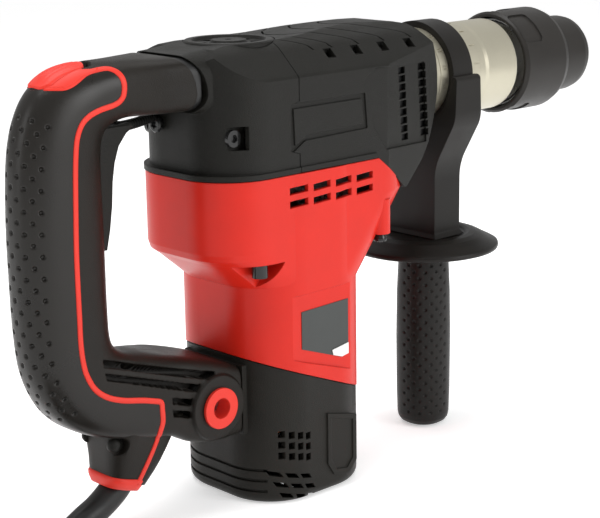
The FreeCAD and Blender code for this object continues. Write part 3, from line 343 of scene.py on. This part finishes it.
def grid_faces(rows, columns, closed):
    """The faces of a grid of points, which may be closed round its columns."""
    faces = []
    span = columns if closed else columns - 1
    for i in range(rows - 1):
        for j in range(span):
            k = (j + 1) % columns
            faces.append((i * columns + j, i * columns + k, (i + 1) * columns + k, (i + 1) * columns + j))
    return faces


def tube_faces(rows, columns):
    """The faces of a closed grid of points and of the two ends that cap it."""
    last = rows * columns - 1
    return grid_faces(rows, columns, True) + [tuple(range(columns)), tuple(range(last, last - columns, -1))]


# ---------------------------------------------------------------- the cord

CORD_RADIUS = 4.0
# along the strain relief: X Y Z and radius
GUARD = [(-114.0, 0, 34.0, 8.6), (-122.4, 0, 24.6, 8.6), (-133.6, 0, 16.9, 8.2), (-144.0, -0.2, 12.6, 7.8),
         (-153.0, -0.8, 10.0, 6.6), (-161.0, -2.0, 8.0, 5.0)]
# the lead's way from the strain relief down to the floor
ROUTE = [(-161.0, -2.0, 8.0), (-167.0, -3.6, 6.2), (-174.5, -8.0, 4.3), (-186, -17.5, 4.1),
         (-200.3, -28.3, 4.1), (-214.8, -35.1, 4.1)]
COIL_CENTRE = (-192.0, -84.0)
COIL_START = 115.0
COIL_END = 2860
# angle wound so far, in degrees, with the coil's radius or height there
COIL_RADII = [(0, 54.0), (300, 54.0), (360, 45.8), (660, 45.8), (720, 37.6), (1260, 37.6), (1320, 45.8),
              (1620, 45.8), (1680, 54.0), (2340, 54.0), (2400, 45.8), (2700, 45.8), (2760, 37.6),
              (COIL_END, 38.0)]
COIL_HEIGHTS = [(0, 4.1), (960, 4.1), (1020, 12.25), (2040, 12.25), (2100, 20.4), (2800, 20.4),
                (COIL_END, 32.0)]
PLUG_BACK = (-209.0, -48.0, 33.8)
PLUG_DIR = (-0.62, -0.784, 0.0)
PLUG_ENTRY = (-4.0, 3.0)


def make_cord(m, guard):
    """The lead lies on the floor, is wound into a coil behind the tool, and ends in its plug on top."""
    step = 20
    swell = 1.0 / (0.75 + 0.25 * math.cos(math.radians(step)))
    points = list(ROUTE)
    for a in range(step, COIL_END + 1, step):
        radius = swell * float(np.interp(a, *zip(*COIL_RADII)))
        turn = math.radians(COIL_START + a)
        points.append((COIL_CENTRE[0] + radius * math.cos(turn), COIL_CENTRE[1] + radius * math.sin(turn),
                       float(np.interp(a, *zip(*COIL_HEIGHTS)))))
    for into in PLUG_ENTRY:
        points.append(tuple(b + into * d for b, d in zip(PLUG_BACK, PLUG_DIR)))
    line = bpy.data.curves.new("cord", "CURVE")
    line.dimensions = "3D"
    line.bevel_depth = CORD_RADIUS * MM
    line.bevel_resolution = 6
    line.resolution_u = 8
    line.use_fill_caps = True
    spline = line.splines.new("NURBS")
    spline.points.add(len(points) - 1)
    for point, place in zip(spline.points, points):
        point.co = (*[MM * c for c in place], 1)
    spline.order_u = 3
    spline.use_endpoint_u = True
    piece = bpy.data.objects.new("cord", line)
    COLLECTION.objects.link(piece)
    line.materials.append(m["cord"])
    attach(piece, "handle")
    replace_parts(piece, "cord_tube", "cord_coil")


# ---------------------------------------------------------------- the main handle

# along the handle: outer edge X Z, inner edge X Z, half width, squareness of the section
STATIONS = [(-70, 268.3, -70, 237, 26.8, 4.6), (-86, 268.3, -85, 237, 24.2, 4.2),
            (-102, 268.5, -99, 237, 20.8, 3.6),
            (-116, 268.6, -110, 236.7, 18.6, 3.0), (-130, 268.5, -117, 234.5, 17.6, 2.5),
            (-147, 266.4, -122, 230.5, 17.5, 2.15), (-163, 258, -124.5, 225, 17.5, 2.15),
            (-173, 243, -125.5, 217, 17.3, 2.3), (-178.5, 222, -125.7, 206, 17.0, 2.4),
            (-180.7, 190, -125.7, 185, 17.0, 2.5), (-181, 160, -125.7, 160, 17.0, 2.5),
            (-180.5, 130, -125.7, 135, 17.0, 2.5), (-177.5, 105, -125.3, 118, 17.2, 2.6),
            (-169, 85, -122, 110.5, 17.6, 2.8), (-156, 71, -115, 106, 19.0, 3.3),
            (-138, 62, -104, 103.5, 21.5, 4.4),
            (-115, 57, -92, 100.5, 24.5, 5.6), (-96, 54, -82, 98, 26.0, 6.5), (-82, 47, -70, 94.5, 26.0, 7.0),
            (-66, 43, -58, 90.5, 26.0, 7.0), (-47.5, 43, -47.5, 86.5, 26.0, 7.0)]
# the bar's front end follows the gear cover's neck (Z X), one bellows' width behind it
BAR_REAR, BAR_FRONT, BAR_LOW = -110, -70, 200
NECK_EDGE = [(226, -75.5), (236.5, -73.5), (241, -70), (247.5, -68), (254, -69), (260, -71.5), (265, -75.5),
             (269, -79.5), (273, -83.5)]
BELLOWS_GAP = 6.2
# the red line on the side and the red bezel round the button, as seen in the plane Y = DRAWN_Y (X Z)
DRAWN_Y = -16.5
STRIPE = [(-167, 260.0), (-160, 259.3), (-155, 258.9), (-151, 259.6), (-147.5, 261), (-144, 263.0),
          (-140, 265), (-133, 266), (-125.5, 265.9), (-119, 262.5), (-116, 257.5), (-116.3, 251.5),
          (-118.5, 248.3), (-123, 246.3), (-131, 245), (-138, 243), (-143, 240), (-146, 236), (-148, 231),
          (-149, 225), (-150, 214), (-151, 194), (-152, 167), (-152, 134), (-152, 121), (-151, 110),
          (-149, 102), (-144, 93), (-136, 86.5), (-126, 82.3), (-118, 80.3), (-111.6, 78.8), (-104.8, 76.8),
          (-101, 75.6), (-98.9, 74.8), (-98.5, 73.2), (-98.5, 70.0), (-98.4, 62.4), (-101.7, 55.6),
          (-106.1, 47.9), (-111.5, 39.7), (-116, 33.5), (-118.4, 30.6)]
BEZEL = [(-190, 262), (-176, 261.5), (-164.5, 259.8), (-154.3, 258.8), (-150.8, 259.8), (-144.3, 262.5),
         (-137.4, 264.3), (-133, 265), (-133, 267), (-137.4, 266.6), (-143.3, 267.0), (-143.5, 290),
         (-190, 290)]
EYE = Vector([c / MM for c in CAMERA_PLACE])
# where the handle turns on its pin, the raised collar round it, and the slots in the sides of the arm
PIVOT = (-66.0, 66.0)
PIVOT_HOLE = 8.2
PIVOT_COLLAR = (18.4, 19.6)
ARM_SLOTS = [[(-138, 108.5), (-66, 87), (-68, 82.6), (-137.5, 104.0)],
             [(-137.5, 100.8), (-76, 81.5), (-77.5, 77.3), (-136.5, 96.4)],
             [(-98, 79), (-82, 74.5), (-84, 70.8), (-97.5, 75)],
             [(-98, 71.8), (-85, 67.7), (-85.5, 63.8), (-97.5, 67.6)]]
# how thick the handle's pieces are under their skin, and where the boot's screws are
SKIN = 1.2
BOOT_SCREW_X, BOOT_SCREW_Z = -129.6, 56


def inside(points, outline):
    """Which of the X, Z points lie inside the outline."""
    x, z = points[:, 0], points[:, 1]
    result = np.zeros(len(points), bool)
    count = len(outline)
    for k in range(count):
        x0, z0 = outline[k]
        x1, z1 = outline[(k + 1) % count]
        if z0 == z1:
            continue
        crosses = (z0 > z) != (z1 > z)
        result ^= crosses & (x < (x1 - x0) * (z - z0) / (z1 - z0) + x0)
    return result


def edge_distance(points, outline):
    """How far the X, Z points are from a polyline."""
    best = np.full(len(points), 1e9)
    for (x0, z0), (x1, z1) in zip(outline[:-1], outline[1:]):
        d = np.array([x1 - x0, z1 - z0], float)
        t = np.clip(((points - (x0, z0)) @ d) / max(1e-9, d @ d), 0, 1)
        best = np.minimum(best, np.linalg.norm(points - ((x0, z0) + t[:, None] * d), axis=1))
    return best


def handle_grid(rows=900, columns=288):
    """The handle's outer skin, before anything is sunk into it.

    Rows run along the handle and columns round it, with column 0 at the rear middle. Also gives each point's
    distance round its section from column 0 and each row's distance along that column.
    """
    fine = 1440
    stations = np.array(STATIONS, float)
    middle = (stations[:, :2] + stations[:, 2:4]) / 2
    along = np.concatenate([[0], np.cumsum(np.linalg.norm(np.diff(middle, axis=0), axis=1))])
    at = np.interp(np.linspace(0, along[-1], rows), along, np.arange(len(stations)))
    made = catmull(stations, at)
    turn = np.linspace(0, 2 * math.pi, fine + 1)[:-1]
    grid = np.zeros((rows, columns, 3))
    arc = np.zeros((rows, columns))
    for i in range(rows):
        ox, oz, ix, iz, half, power = made[i]
        c = np.array([(ox + ix) / 2, (oz + iz) / 2])
        u = np.array([(ox - ix) / 2, (oz - iz) / 2])
        a = np.sign(np.cos(turn)) * np.abs(np.cos(turn)) ** (2 / power)
        b = np.sign(np.sin(turn)) * np.abs(np.sin(turn)) ** (2 / power)
        ring = np.stack([c[0] + a * u[0], b * half, c[1] + a * u[1]], axis=1)
        ring = np.vstack([ring, ring[:1]])
        run = np.concatenate([[0], np.cumsum(np.linalg.norm(np.diff(ring, axis=0), axis=1))])
        want = np.linspace(0, run[-1], columns + 1)[:-1]
        for axis in range(3):
            grid[i, :, axis] = np.interp(want, run, ring[:, axis])
        arc[i] = np.where(want < run[-1] / 2, want, want - run[-1])
    bar = (grid[:, :, 0] > BAR_REAR) & (grid[:, :, 2] > BAR_LOW)
    edge = np.interp(grid[:, :, 2], *zip(*NECK_EDGE)) - BELLOWS_GAP
    stretch = (edge - BAR_REAR) / (BAR_FRONT - BAR_REAR)
    grid[:, :, 0] = np.where(bar, BAR_REAR + (grid[:, :, 0] - BAR_REAR) * stretch, grid[:, :, 0])
    lengths = np.concatenate([[0], np.cumsum(np.linalg.norm(np.diff(grid[:, 0], axis=0), axis=1))])
    return grid, arc, lengths


def grid_normals(grid):
    """Outward normals of a grid closed round its columns."""
    along = np.gradient(grid, axis=0)
    around = (np.roll(grid, -1, axis=1) - np.roll(grid, 1, axis=1)) / 2
    normal = np.cross(along, around)
    normal /= np.maximum(1e-9, np.linalg.norm(normal, axis=2, keepdims=True))
    centre = grid.mean(axis=1, keepdims=True)
    if np.sum(normal * (grid - centre)) < 0:
        normal = -normal
    return normal


def dimple_depth(arc, lengths, grid):
    """Round dimples in staggered rows across the back of the grip, from one height down to another."""
    highest, lowest, row_gap = 247, 76, 6.1
    deep, radius = 1.4, 1.35
    out_of_reach = 1000
    depth = np.zeros(arc.shape)
    top = np.argmin(np.abs(grid[:, 0, 2] - highest) + out_of_reach * (grid[:, 0, 0] > -150))
    low = np.argmin(np.abs(grid[:, 0, 2] - lowest) + out_of_reach * (grid[:, 0, 0] > -145))
    place = lengths[top] + 3
    row = 0
    while place < lengths[low]:
        spots = (-18.4, -9.2, 0, 9.2, 18.4) if row % 2 == 0 else (-13.8, -4.6, 4.6, 13.8)
        for spot in spots:
            near = np.hypot(arc - spot, (lengths - place)[:, None])
            depth = np.maximum(depth, deep * np.clip(1.3 - (near / radius) ** 2, 0, 1))
        place += row_gap
        row += 1
    return depth


def ribbon(name, line, tree, material, width=3.3, height=0.5):
    """A raised band that follows points on a surface."""
    line = [Vector(p) for p in line]
    offsets = [(-0.5, -0.5), (-0.48, 0.55), (-0.3, 0.9), (0, 1.0), (0.3, 0.9), (0.48, 0.55), (0.5, -0.5)]
    points = []
    for k, p in enumerate(line):
        ahead = line[min(k + 1, len(line) - 1)] - line[max(k - 1, 0)]
        ahead.normalize()
        place, normal, _, _ = tree.find_nearest(p)
        side = normal.cross(ahead).normalized()
        for across, up in offsets:
            q, n, _, _ = tree.find_nearest(place + side * across * width)
            points.append(q + n * height * up)
    return mesh_object(name, points, tube_faces(len(line), len(offsets)), material)


def resample(points, gap):
    """A smooth line through the points, given again as points about one gap apart."""
    points = np.array(points, float)
    t = np.linspace(0, len(points) - 1, 16 * len(points))
    smooth = catmull(points, t)
    run = np.concatenate([[0], np.cumsum(np.linalg.norm(np.diff(smooth, axis=0), axis=1))])
    want = np.linspace(0, run[-1], max(2, int(run[-1] / gap)))
    return np.stack([np.interp(want, run, smooth[:, k]) for k in range(points.shape[1])], axis=1)


def loft(name, sections, material, power=4.0, columns=96):
    """A closed body through tilted superellipse sections: height, centre X, half X, half Y, tilt."""
    points = []
    turn = np.linspace(0, 2 * math.pi, columns + 1)[:-1]
    for z, cx, hx, hy, tilt in sections:
        x = hx * np.sign(np.cos(turn)) * np.abs(np.cos(turn)) ** (2 / power)
        y = hy * np.sign(np.sin(turn)) * np.abs(np.sin(turn)) ** (2 / power)
        points += [(cx + a, b, z + tilt * a) for a, b in zip(x, y)]
    return mesh_object(name, points, tube_faces(len(sections), columns), material)


SPIN_COLUMNS = 48


def spin(name, profile, place, axis, material):
    """A turned body: profile gives distance along the axis and radius, in millimetres."""
    turn = Vector((0, 0, 1)).rotation_difference(Vector(axis).normalized())
    points = []
    for along, radius in profile:
        for k in range(SPIN_COLUMNS):
            a = 2 * math.pi * k / SPIN_COLUMNS
            points.append(Vector(place) + turn @ Vector((radius * math.cos(a), radius * math.sin(a), along)))
    return mesh_object(name, points, tube_faces(len(profile), SPIN_COLUMNS), material, smooth=False)


def sweep(name, middle, radii, columns, material):
    """A round body along a line of points, with a radius for each point."""
    points = []
    for place, ahead, radius in zip(middle, np.gradient(middle, axis=0), radii):
        ahead = Vector(ahead).normalized()
        across = ahead.cross(Vector((0, 0, 1))).normalized()
        up = across.cross(ahead)
        for k in range(columns):
            a = 2 * math.pi * k / columns
            points.append(Vector(place) + (across * math.cos(a) + up * math.sin(a)) * radius)
    return mesh_object(name, points, tube_faces(len(middle), columns), material)


def screw(name, place, axis, radius, body, m):
    """A pan-head screw; rows 6 and 7 of its head are the wall of the six-lobe recess."""
    lobes, lobe_share = 6, 0.16
    head = [(-3.0, radius * 0.7), (0, radius * 0.95), (0.2, radius), (1.2, radius), (1.9, radius * 0.9),
            (2.1, radius * 0.78), (2.1, radius * 0.5), (0.5, radius * 0.42), (0.5, 0.02)]
    turn = Vector((0, 0, 1)).rotation_difference(Vector(axis).normalized())
    piece = spin(name, head, place, axis, m["screw"])
    for row in (6, 7):
        for k in range(SPIN_COLUMNS):
            a = 2 * math.pi * k / SPIN_COLUMNS
            vertex = piece.data.vertices[row * SPIN_COLUMNS + k]
            centre = Vector(place) + turn @ Vector((0, 0, head[row][0]))
            out = vertex.co - MM * centre
            vertex.co = MM * centre + out * (1 + lobe_share * math.cos(lobes * a))
    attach(piece, body)
    return piece


def step_up(values, low, high):
    """A smooth step from 0 at the low value to 1 at the high one."""
    t = np.clip((values - low) / (high - low), 0, 1)
    return t * t * (3 - 2 * t)


def handle_depth(grid, arc, lengths):
    """How far each point of the handle's skin is sunk, or raised where the depth is below zero.

    It covers the grip's dimples, the arm's slots, the collar and hole at the pivot, and the button's slot.
    """
    slot_deep, hole_deep, button_deep, collar_high = 8.0, 10.0, 3.5, 2.4
    slots_from = 19.5
    flat = grid.reshape(-1, 3)
    xz = flat[:, [0, 2]]
    across = np.abs(flat[:, 1])
    side = across > 9
    depth = dimple_depth(arc, lengths, grid).reshape(-1)
    ring = np.hypot(xz[:, 0] - PIVOT[0], xz[:, 1] - PIVOT[1])
    for slot in ARM_SLOTS:
        hit = inside(xz, slot) & side & (ring > slots_from)
        wall = edge_distance(xz, slot + slot[:1])
        depth = np.where(hit, slot_deep * step_up(wall, 0.0, 0.6), depth)
    proud = -collar_high * (1 - step_up(ring, *PIVOT_COLLAR))
    depth = np.where(side, depth + proud, depth)
    depth = np.where(side & (ring < PIVOT_HOLE), hole_deep, depth)
    behind = -160.5 + 5 * (across / 9) ** 4
    ahead = -127.5 - 5 * (across / 9) ** 2
    slot = (xz[:, 0] > behind) & (xz[:, 0] < ahead) & (across < 8.4) & (xz[:, 1] > 250)
    return np.where(slot, button_deep, depth)


def seen_side(points):
    """Where the camera's line through each point, or its mirror image, meets the plane Y = DRAWN_Y."""
    near = points * (1, 0, 1) - np.abs(points) * (0, 1, 0)
    eye = np.array(EYE)
    reach = (DRAWN_Y - eye[1]) / (near[:, 1] - eye[1])
    return (eye + (near - eye) * reach[:, None])[:, [0, 2]]


def cut_faces(name, skin, inner, faces, keep, material):
    """A closed piece of the handle: its skin's kept faces, an inner layer and the rim between them."""
    used = faces[keep]
    index, inverse = np.unique(used, return_inverse=True)
    outer = inverse.reshape(used.shape)
    count = len(index)
    ends = np.vstack([outer[:, [k, (k + 1) % 4]] for k in range(4)])
    seen = set(map(tuple, ends.tolist()))
    rim = [(a, b) for a, b in seen if (b, a) not in seen]
    quads = outer.tolist() + (outer[:, ::-1] + count).tolist()
    quads += [(b, a, a + count, b + count) for a, b in rim]
    piece = mesh_object(name, np.vstack([skin[index], inner[index]]), [tuple(q) for q in quads], material)
    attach(piece, "handle")
    return piece


def make_boot(m):
    """The lead's boot under the handle, with a screw in a hole on each side."""
    boot = loft("boot_skin", [(66, -106.4, 25, 23, 0), (61, -108.4, 24, 21.5, -0.03),
                              (55, -110.2, 22, 19.4, -0.06), (48, -112, 20.2, 17.4, -0.1),
                              (42, -114, 18.0, 16.2, -0.16), (37, -116.4, 15.6, 15.4, -0.24),
                              (33, -118.6, 13.4, 14.8, -0.32), (30.5, -120, 12.4, 14.4, -0.35)], m["handle"])
    hole = [(0, 5.6), (13, 5.6)]
    cut_with(boot, [spin("hole_r", hole, (BOOT_SCREW_X, -25.5, BOOT_SCREW_Z), (0, 1, 0), m["handle"]),
                    spin("hole_l", hole, (BOOT_SCREW_X, 25.5, BOOT_SCREW_Z), (0, -1, 0), m["handle"])])
    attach(boot, "handle")
    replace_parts(boot, "cord_boot")
    for name, sign in (("boot_screw_r", -1), ("boot_screw_l", 1)):
        dome = spin(name, [(0, 4.4), (1.6, 4.4), (3.0, 3.9), (4.0, 2.9), (4.6, 1.6), (4.8, 0.3)],
                    (BOOT_SCREW_X, sign * 10.6, BOOT_SCREW_Z), (0, sign, 0), m["black"])
        dome.data.polygons.foreach_set("use_smooth", [True] * len(dome.data.polygons))
        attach(dome, "handle")
    return boot


def make_stripes(m, flat, faces, boot):
    """The red line on both sides of the handle and its boot.

    The camera sees the line through the plane it is drawn in, so it is dropped onto the skin that way.
    """
    boot_faces = [tuple(len(flat) + v for v in f.vertices) for f in boot.data.polygons]
    skins = BVHTree.FromPolygons([Vector(p) for p in np.vstack([flat, 1000 * read_points(boot)])],
                                 [tuple(f) for f in faces] + boot_faces)
    line = []
    for x, z in resample(STRIPE, 1.0):
        aim = Vector((x, DRAWN_Y, z))
        hit = skins.ray_cast(EYE, (aim - EYE).normalized())[0]
        line.append(np.array(hit if hit else skins.find_nearest(aim)[0]))
    line = np.array(line)
    for _ in range(2):
        line[1:-1] = (line[:-2] + line[1:-1] + line[2:]) / 3
    for side, sign in (("right", 1), ("left", -1)):
        band = ribbon("stripe_" + side, line * (1, sign, 1), skins, m["red_soft"])
        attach(band, "handle")
        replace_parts(band, "inlay_" + side)


def make_handle(m):
    """The rear handle: boot, stripes, rubber pad, two shells, bezel, the lead's red collar and the button."""
    bezel_from, bezel_proud = 215, 0.5
    grid, arc, lengths = handle_grid()
    rows, columns = arc.shape
    normal = grid_normals(grid).reshape(-1, 3)
    flat = grid.reshape(-1, 3)
    depth = handle_depth(grid, arc, lengths)
    faces = np.array(grid_faces(rows, columns, True))
    centres = flat[faces].mean(axis=1)
    seen = seen_side(centres)
    in_bezel = inside(seen, BEZEL) & (centres[:, 2] > bezel_from)
    make_stripes(m, flat, faces, make_boot(m))
    in_pad = inside(seen, STRIPE + [(-119, 20), (-240, 20), (-240, 259)]) & ~in_bezel
    right = centres[:, 1] < 0
    skin = flat - normal * depth[:, None]
    inner = flat - normal * (np.maximum(depth, 0) + SKIN)[:, None]
    pad = cut_faces("handle_pad_skin", skin, inner, faces, in_pad, m["pad"])
    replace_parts(pad, "handle_pad")
    shell = ~in_pad & ~in_bezel
    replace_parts(cut_faces("handle_skin_right", skin, inner, faces, shell & right, m["handle"]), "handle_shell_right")
    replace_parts(cut_faces("handle_skin_left", skin, inner, faces, shell & ~right, m["handle"]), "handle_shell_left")
    bezel_skin = flat - normal * np.where(depth > 2, depth, -bezel_proud)[:, None]
    cut_faces("button_bezel", bezel_skin, inner, faces, in_bezel, m["red_soft"])
    collar = loft("guard_collar", [(33.6, -119.8, 12.4, 15.2, -0.30), (32.6, -120.4, 12.8, 15.4, -0.30),
                                   (30.4, -121.2, 12.2, 14.8, -0.32), (28.4, -121.6, 11.4, 13.6, -0.32),
                                   (26.8, -121.9, 10.9, 12.4, -0.34), (26.4, -122.0, 8.8, 8.8, -0.34),
                                   (30.0, -121.2, 8.6, 8.8, -0.34)], m["red_soft"], power=3.4)
    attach(collar, "handle")
    make_button(m)


def read_points(piece):
    """The piece's own points, in metres."""
    points = np.zeros(3 * len(piece.data.vertices))
    piece.data.vertices.foreach_get("co", points)
    return points.reshape(-1, 3)


def make_button(m):
    """The ridged lock button: a tongue that lies in the handle's rear shoulder."""
    ridge = [(-168, 255.4), (-163, 259.3), (-156, 264.2), (-149, 267.1), (-141, 268.7), (-131, 269.1)]
    half_width, ridge_high, ridge_gap = 8.8, 0.22, 2.9
    rows, columns = 80, 45
    top = np.zeros((rows, columns, 3))
    for j, s in enumerate(np.linspace(-1, 1, columns)):
        y = half_width * s
        rear, front = -163.0 + 6.0 * s ** 4, -131.8 - 5.6 * s ** 2
        x = np.linspace(rear, front, rows)
        z = catmull(ridge, np.interp(x, [r[0] for r in ridge], range(len(ridge))))[:, 1]
        fade = np.clip((x + 160) / 6, 0, 1) * np.clip((front - 2 - x), 0, 1)
        ripple = ridge_high * math.cos(2 * math.pi * y / ridge_gap) * fade
        drop = 2.2 * s ** 2 + 1.0 * max(0.0, abs(s) - 0.9) / 0.1 + 0.8 * np.clip(1 - (front - x), 0, 1) ** 2
        top[:, j] = np.stack([x, np.full(rows, y), z - drop + ripple], axis=1)
    low = top + (1.2, 0, -4.6)
    points = np.vstack([top.reshape(-1, 3), low.reshape(-1, 3)])
    count = rows * columns
    faces = grid_faces(rows, columns, False)
    faces += [tuple(count + v for v in reversed(f)) for f in faces]
    rim = list(range(columns)) + [i * columns + columns - 1 for i in range(1, rows)]
    rim += [count - 1 - j for j in range(1, columns)] + [i * columns for i in range(rows - 2, 0, -1)]
    faces += [(a, b, count + b, count + a) for a, b in zip(rim, rim[1:] + rim[:1])]
    piece = mesh_object("lock_button", points, faces, m["red_soft"])
    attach(piece, "lock_slider")
    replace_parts(piece, "lock_slider")


# ---------------------------------------------------------------- the side handle's grip

SIDE_X = 136.5


def make_side_grip(m):
    """The auxiliary grip: slightly barrelled, with a dimpled front and back and plain flanks."""
    fields = (-math.pi * 0.74, math.pi * 0.26)
    gap_across, gap_down, deep, top_margin = 3.9, 8.4, 0.85, 6.0
    low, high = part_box("side_grip")
    z0, z1 = 1000 * low[2], 1000 * high[2]
    profile = [(0.0, 0.55), (0.005, 0.72), (0.015, 0.83), (0.035, 0.92), (0.06, 0.955), (0.2, 0.985),
               (0.5, 1.0), (0.75, 0.975), (0.93, 0.92), (1.0, 0.90)]
    rows, columns = 400, 220
    turn = np.linspace(0, 2 * math.pi, columns + 1)[:-1]
    radius = 1000 * (high[0] - low[0]) / 2 - 0.3
    share = np.concatenate([np.linspace(0, 0.06, 40)[:-1], np.linspace(0.06, 1, rows - 39)])
    points = []
    for f in share:
        z = z0 + f * (z1 - z0)
        r = radius * float(np.interp(f, *zip(*profile)))
        flat_side = 1 - 0.035 * np.abs(np.cos(2 * turn)) ** 3
        dip = np.zeros(columns)
        if 0.07 < f < 0.965:
            for k in range(-4, 5):
                step = (z1 - top_margin - z - (gap_down / 2 if k % 2 else 0.0)) / gap_down
                down = (step - round(step)) * gap_down
                for centre in fields:
                    across = (np.mod(turn - centre + math.pi, 2 * math.pi) - math.pi) * r - gap_across * k
                    dip = np.maximum(dip, deep * np.clip(1.3 - (across ** 2 + down ** 2) / 1.15, 0, 1))
        rr = r * flat_side - dip
        points += [(SIDE_X + a * math.cos(b), a * math.sin(b), z) for a, b in zip(rr, turn)]
    piece = mesh_object("side_grip_skin", points, tube_faces(len(share), columns), m["side"])
    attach(piece, "side_grip")
    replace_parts(piece, "side_grip")


# ---------------------------------------------------------------- small and soft parts

def make_guard(m):
    """The bent, tapering strain relief of the lead, with shallow rings towards its thin end."""
    ring_gap, ring_deep, rings_from, plain_end = 3.4, 0.5, 46, 2
    path = np.array(GUARD, float)
    made = catmull(path, np.linspace(0, len(path) - 1, 160))
    run = np.concatenate([[0], np.cumsum(np.linalg.norm(np.diff(made[:, :3], axis=0), axis=1))])
    ringed = (run > rings_from) & (run < run[-1] - plain_end) & (np.sin(2 * math.pi * run / ring_gap) > 0.3)
    piece = sweep("cord_guard_skin", made[:, :3], made[:, 3] - ring_deep * ringed, 64, m["cord"])
    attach(piece, "handle")
    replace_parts(piece, "cord_guard")
    return piece


def make_conduit(m):
    """The sleeved wires that cross from the handle's inner corner to the back of the gear cover."""
    line = np.array([(-112, -1, 231.5), (-104, 1, 231.0), (-95, 5, 230.6), (-85, 10, 230.4),
                     (-76, 14.5, 230.4), (-69, 16.5, 230.4)], float)
    rows = 90
    made = catmull(line, np.linspace(0, len(line) - 1, rows))
    radii = [2.9 + 0.12 * math.sin(2 * math.pi * k / 5.0) for k in range(rows)]
    piece = sweep("wire_conduit", made, radii, 32, m["cord"])
    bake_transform(piece)


def node_copy(name, node, material):
    """A piece with the node's shape, for a node that changes shape as a joint moves."""
    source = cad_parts[node]
    piece = bpy.data.objects.new(name, source.data.copy())
    COLLECTION.objects.link(piece)
    bpy.context.view_layer.update()
    piece.data.transform(source.matrix_world)
    piece.data.materials.clear()
    piece.data.materials.append(material)
    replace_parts(piece, node)
    return piece


def make_soft_parts(m):
    """Copies of the bellows between handle and neck and of the sleeve's spring, the spring attached to the chuck
    sleeve.
    """
    ring = node_copy("bellows_skin", "bellows", m["bellows"])
    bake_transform(ring)
    points = 1000 * read_points(ring)
    spring = node_copy("sleeve_spring_skin", "sleeve_spring", m["steel"])
    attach(spring, "chuck_sleeve")
    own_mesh(spring)


def make_vent_shade_sheets(m):
    """Near-black sheets behind the gear cover's square vents: painted shade that darkens the inside of the vents."""
    wall = [(62, 40.2), (90, 35.2), (105, 32.3), (105, 31.9), (90, 34.8), (62, 39.8)]
    for side, sign in (("right", -1), ("left", 1)):
        # painted shade: near-black sheets that make the inside of the vents look dark
        low, high = ([(x, sign * y, z) for x, y in wall] for z in (198, 252))
        shade_sheet = solid_between("vent_shade_sheet_" + side, low, high, m["bellows"])
        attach(shade_sheet, "housing")


def make_small_parts(m):
    """Screws, the wires' conduit, the white patch on the rating plate and the near-black sheets of painted shade
    behind the vents.
    """
    for side, sign in (("r", -1), ("l", 1)):
        screw("lug_screw_" + side, (54.5, 40 * sign, 147.6), (0, 0, -1), 4.3, "housing", m)
    screw("rear_screw", (-72.4, 12.5, 227), (-1, 0, 0), 5.0, "housing", m)
    make_conduit(m)
    outline = [(7.5, 88.0), (21.0, 90.0), (21.0, 83.3), (15.4, 82.3), (8.4, 84.7)]
    back, front = ([(x, y, z) for x, z in outline] for y in (-45.9, -45.5))
    patch = solid_between("plate_patch", back, front, m["white"])
    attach(patch, "housing")
    make_vent_shade_sheets(m)


# ---------------------------------------------------------------- everything together

make_camera()
materials = make_materials()
make_cord(materials, make_guard(materials))
make_stage()
dress_nodes(materials)
make_handle(materials)
make_side_grip(materials)
make_small_parts(materials)
make_soft_parts(materials)
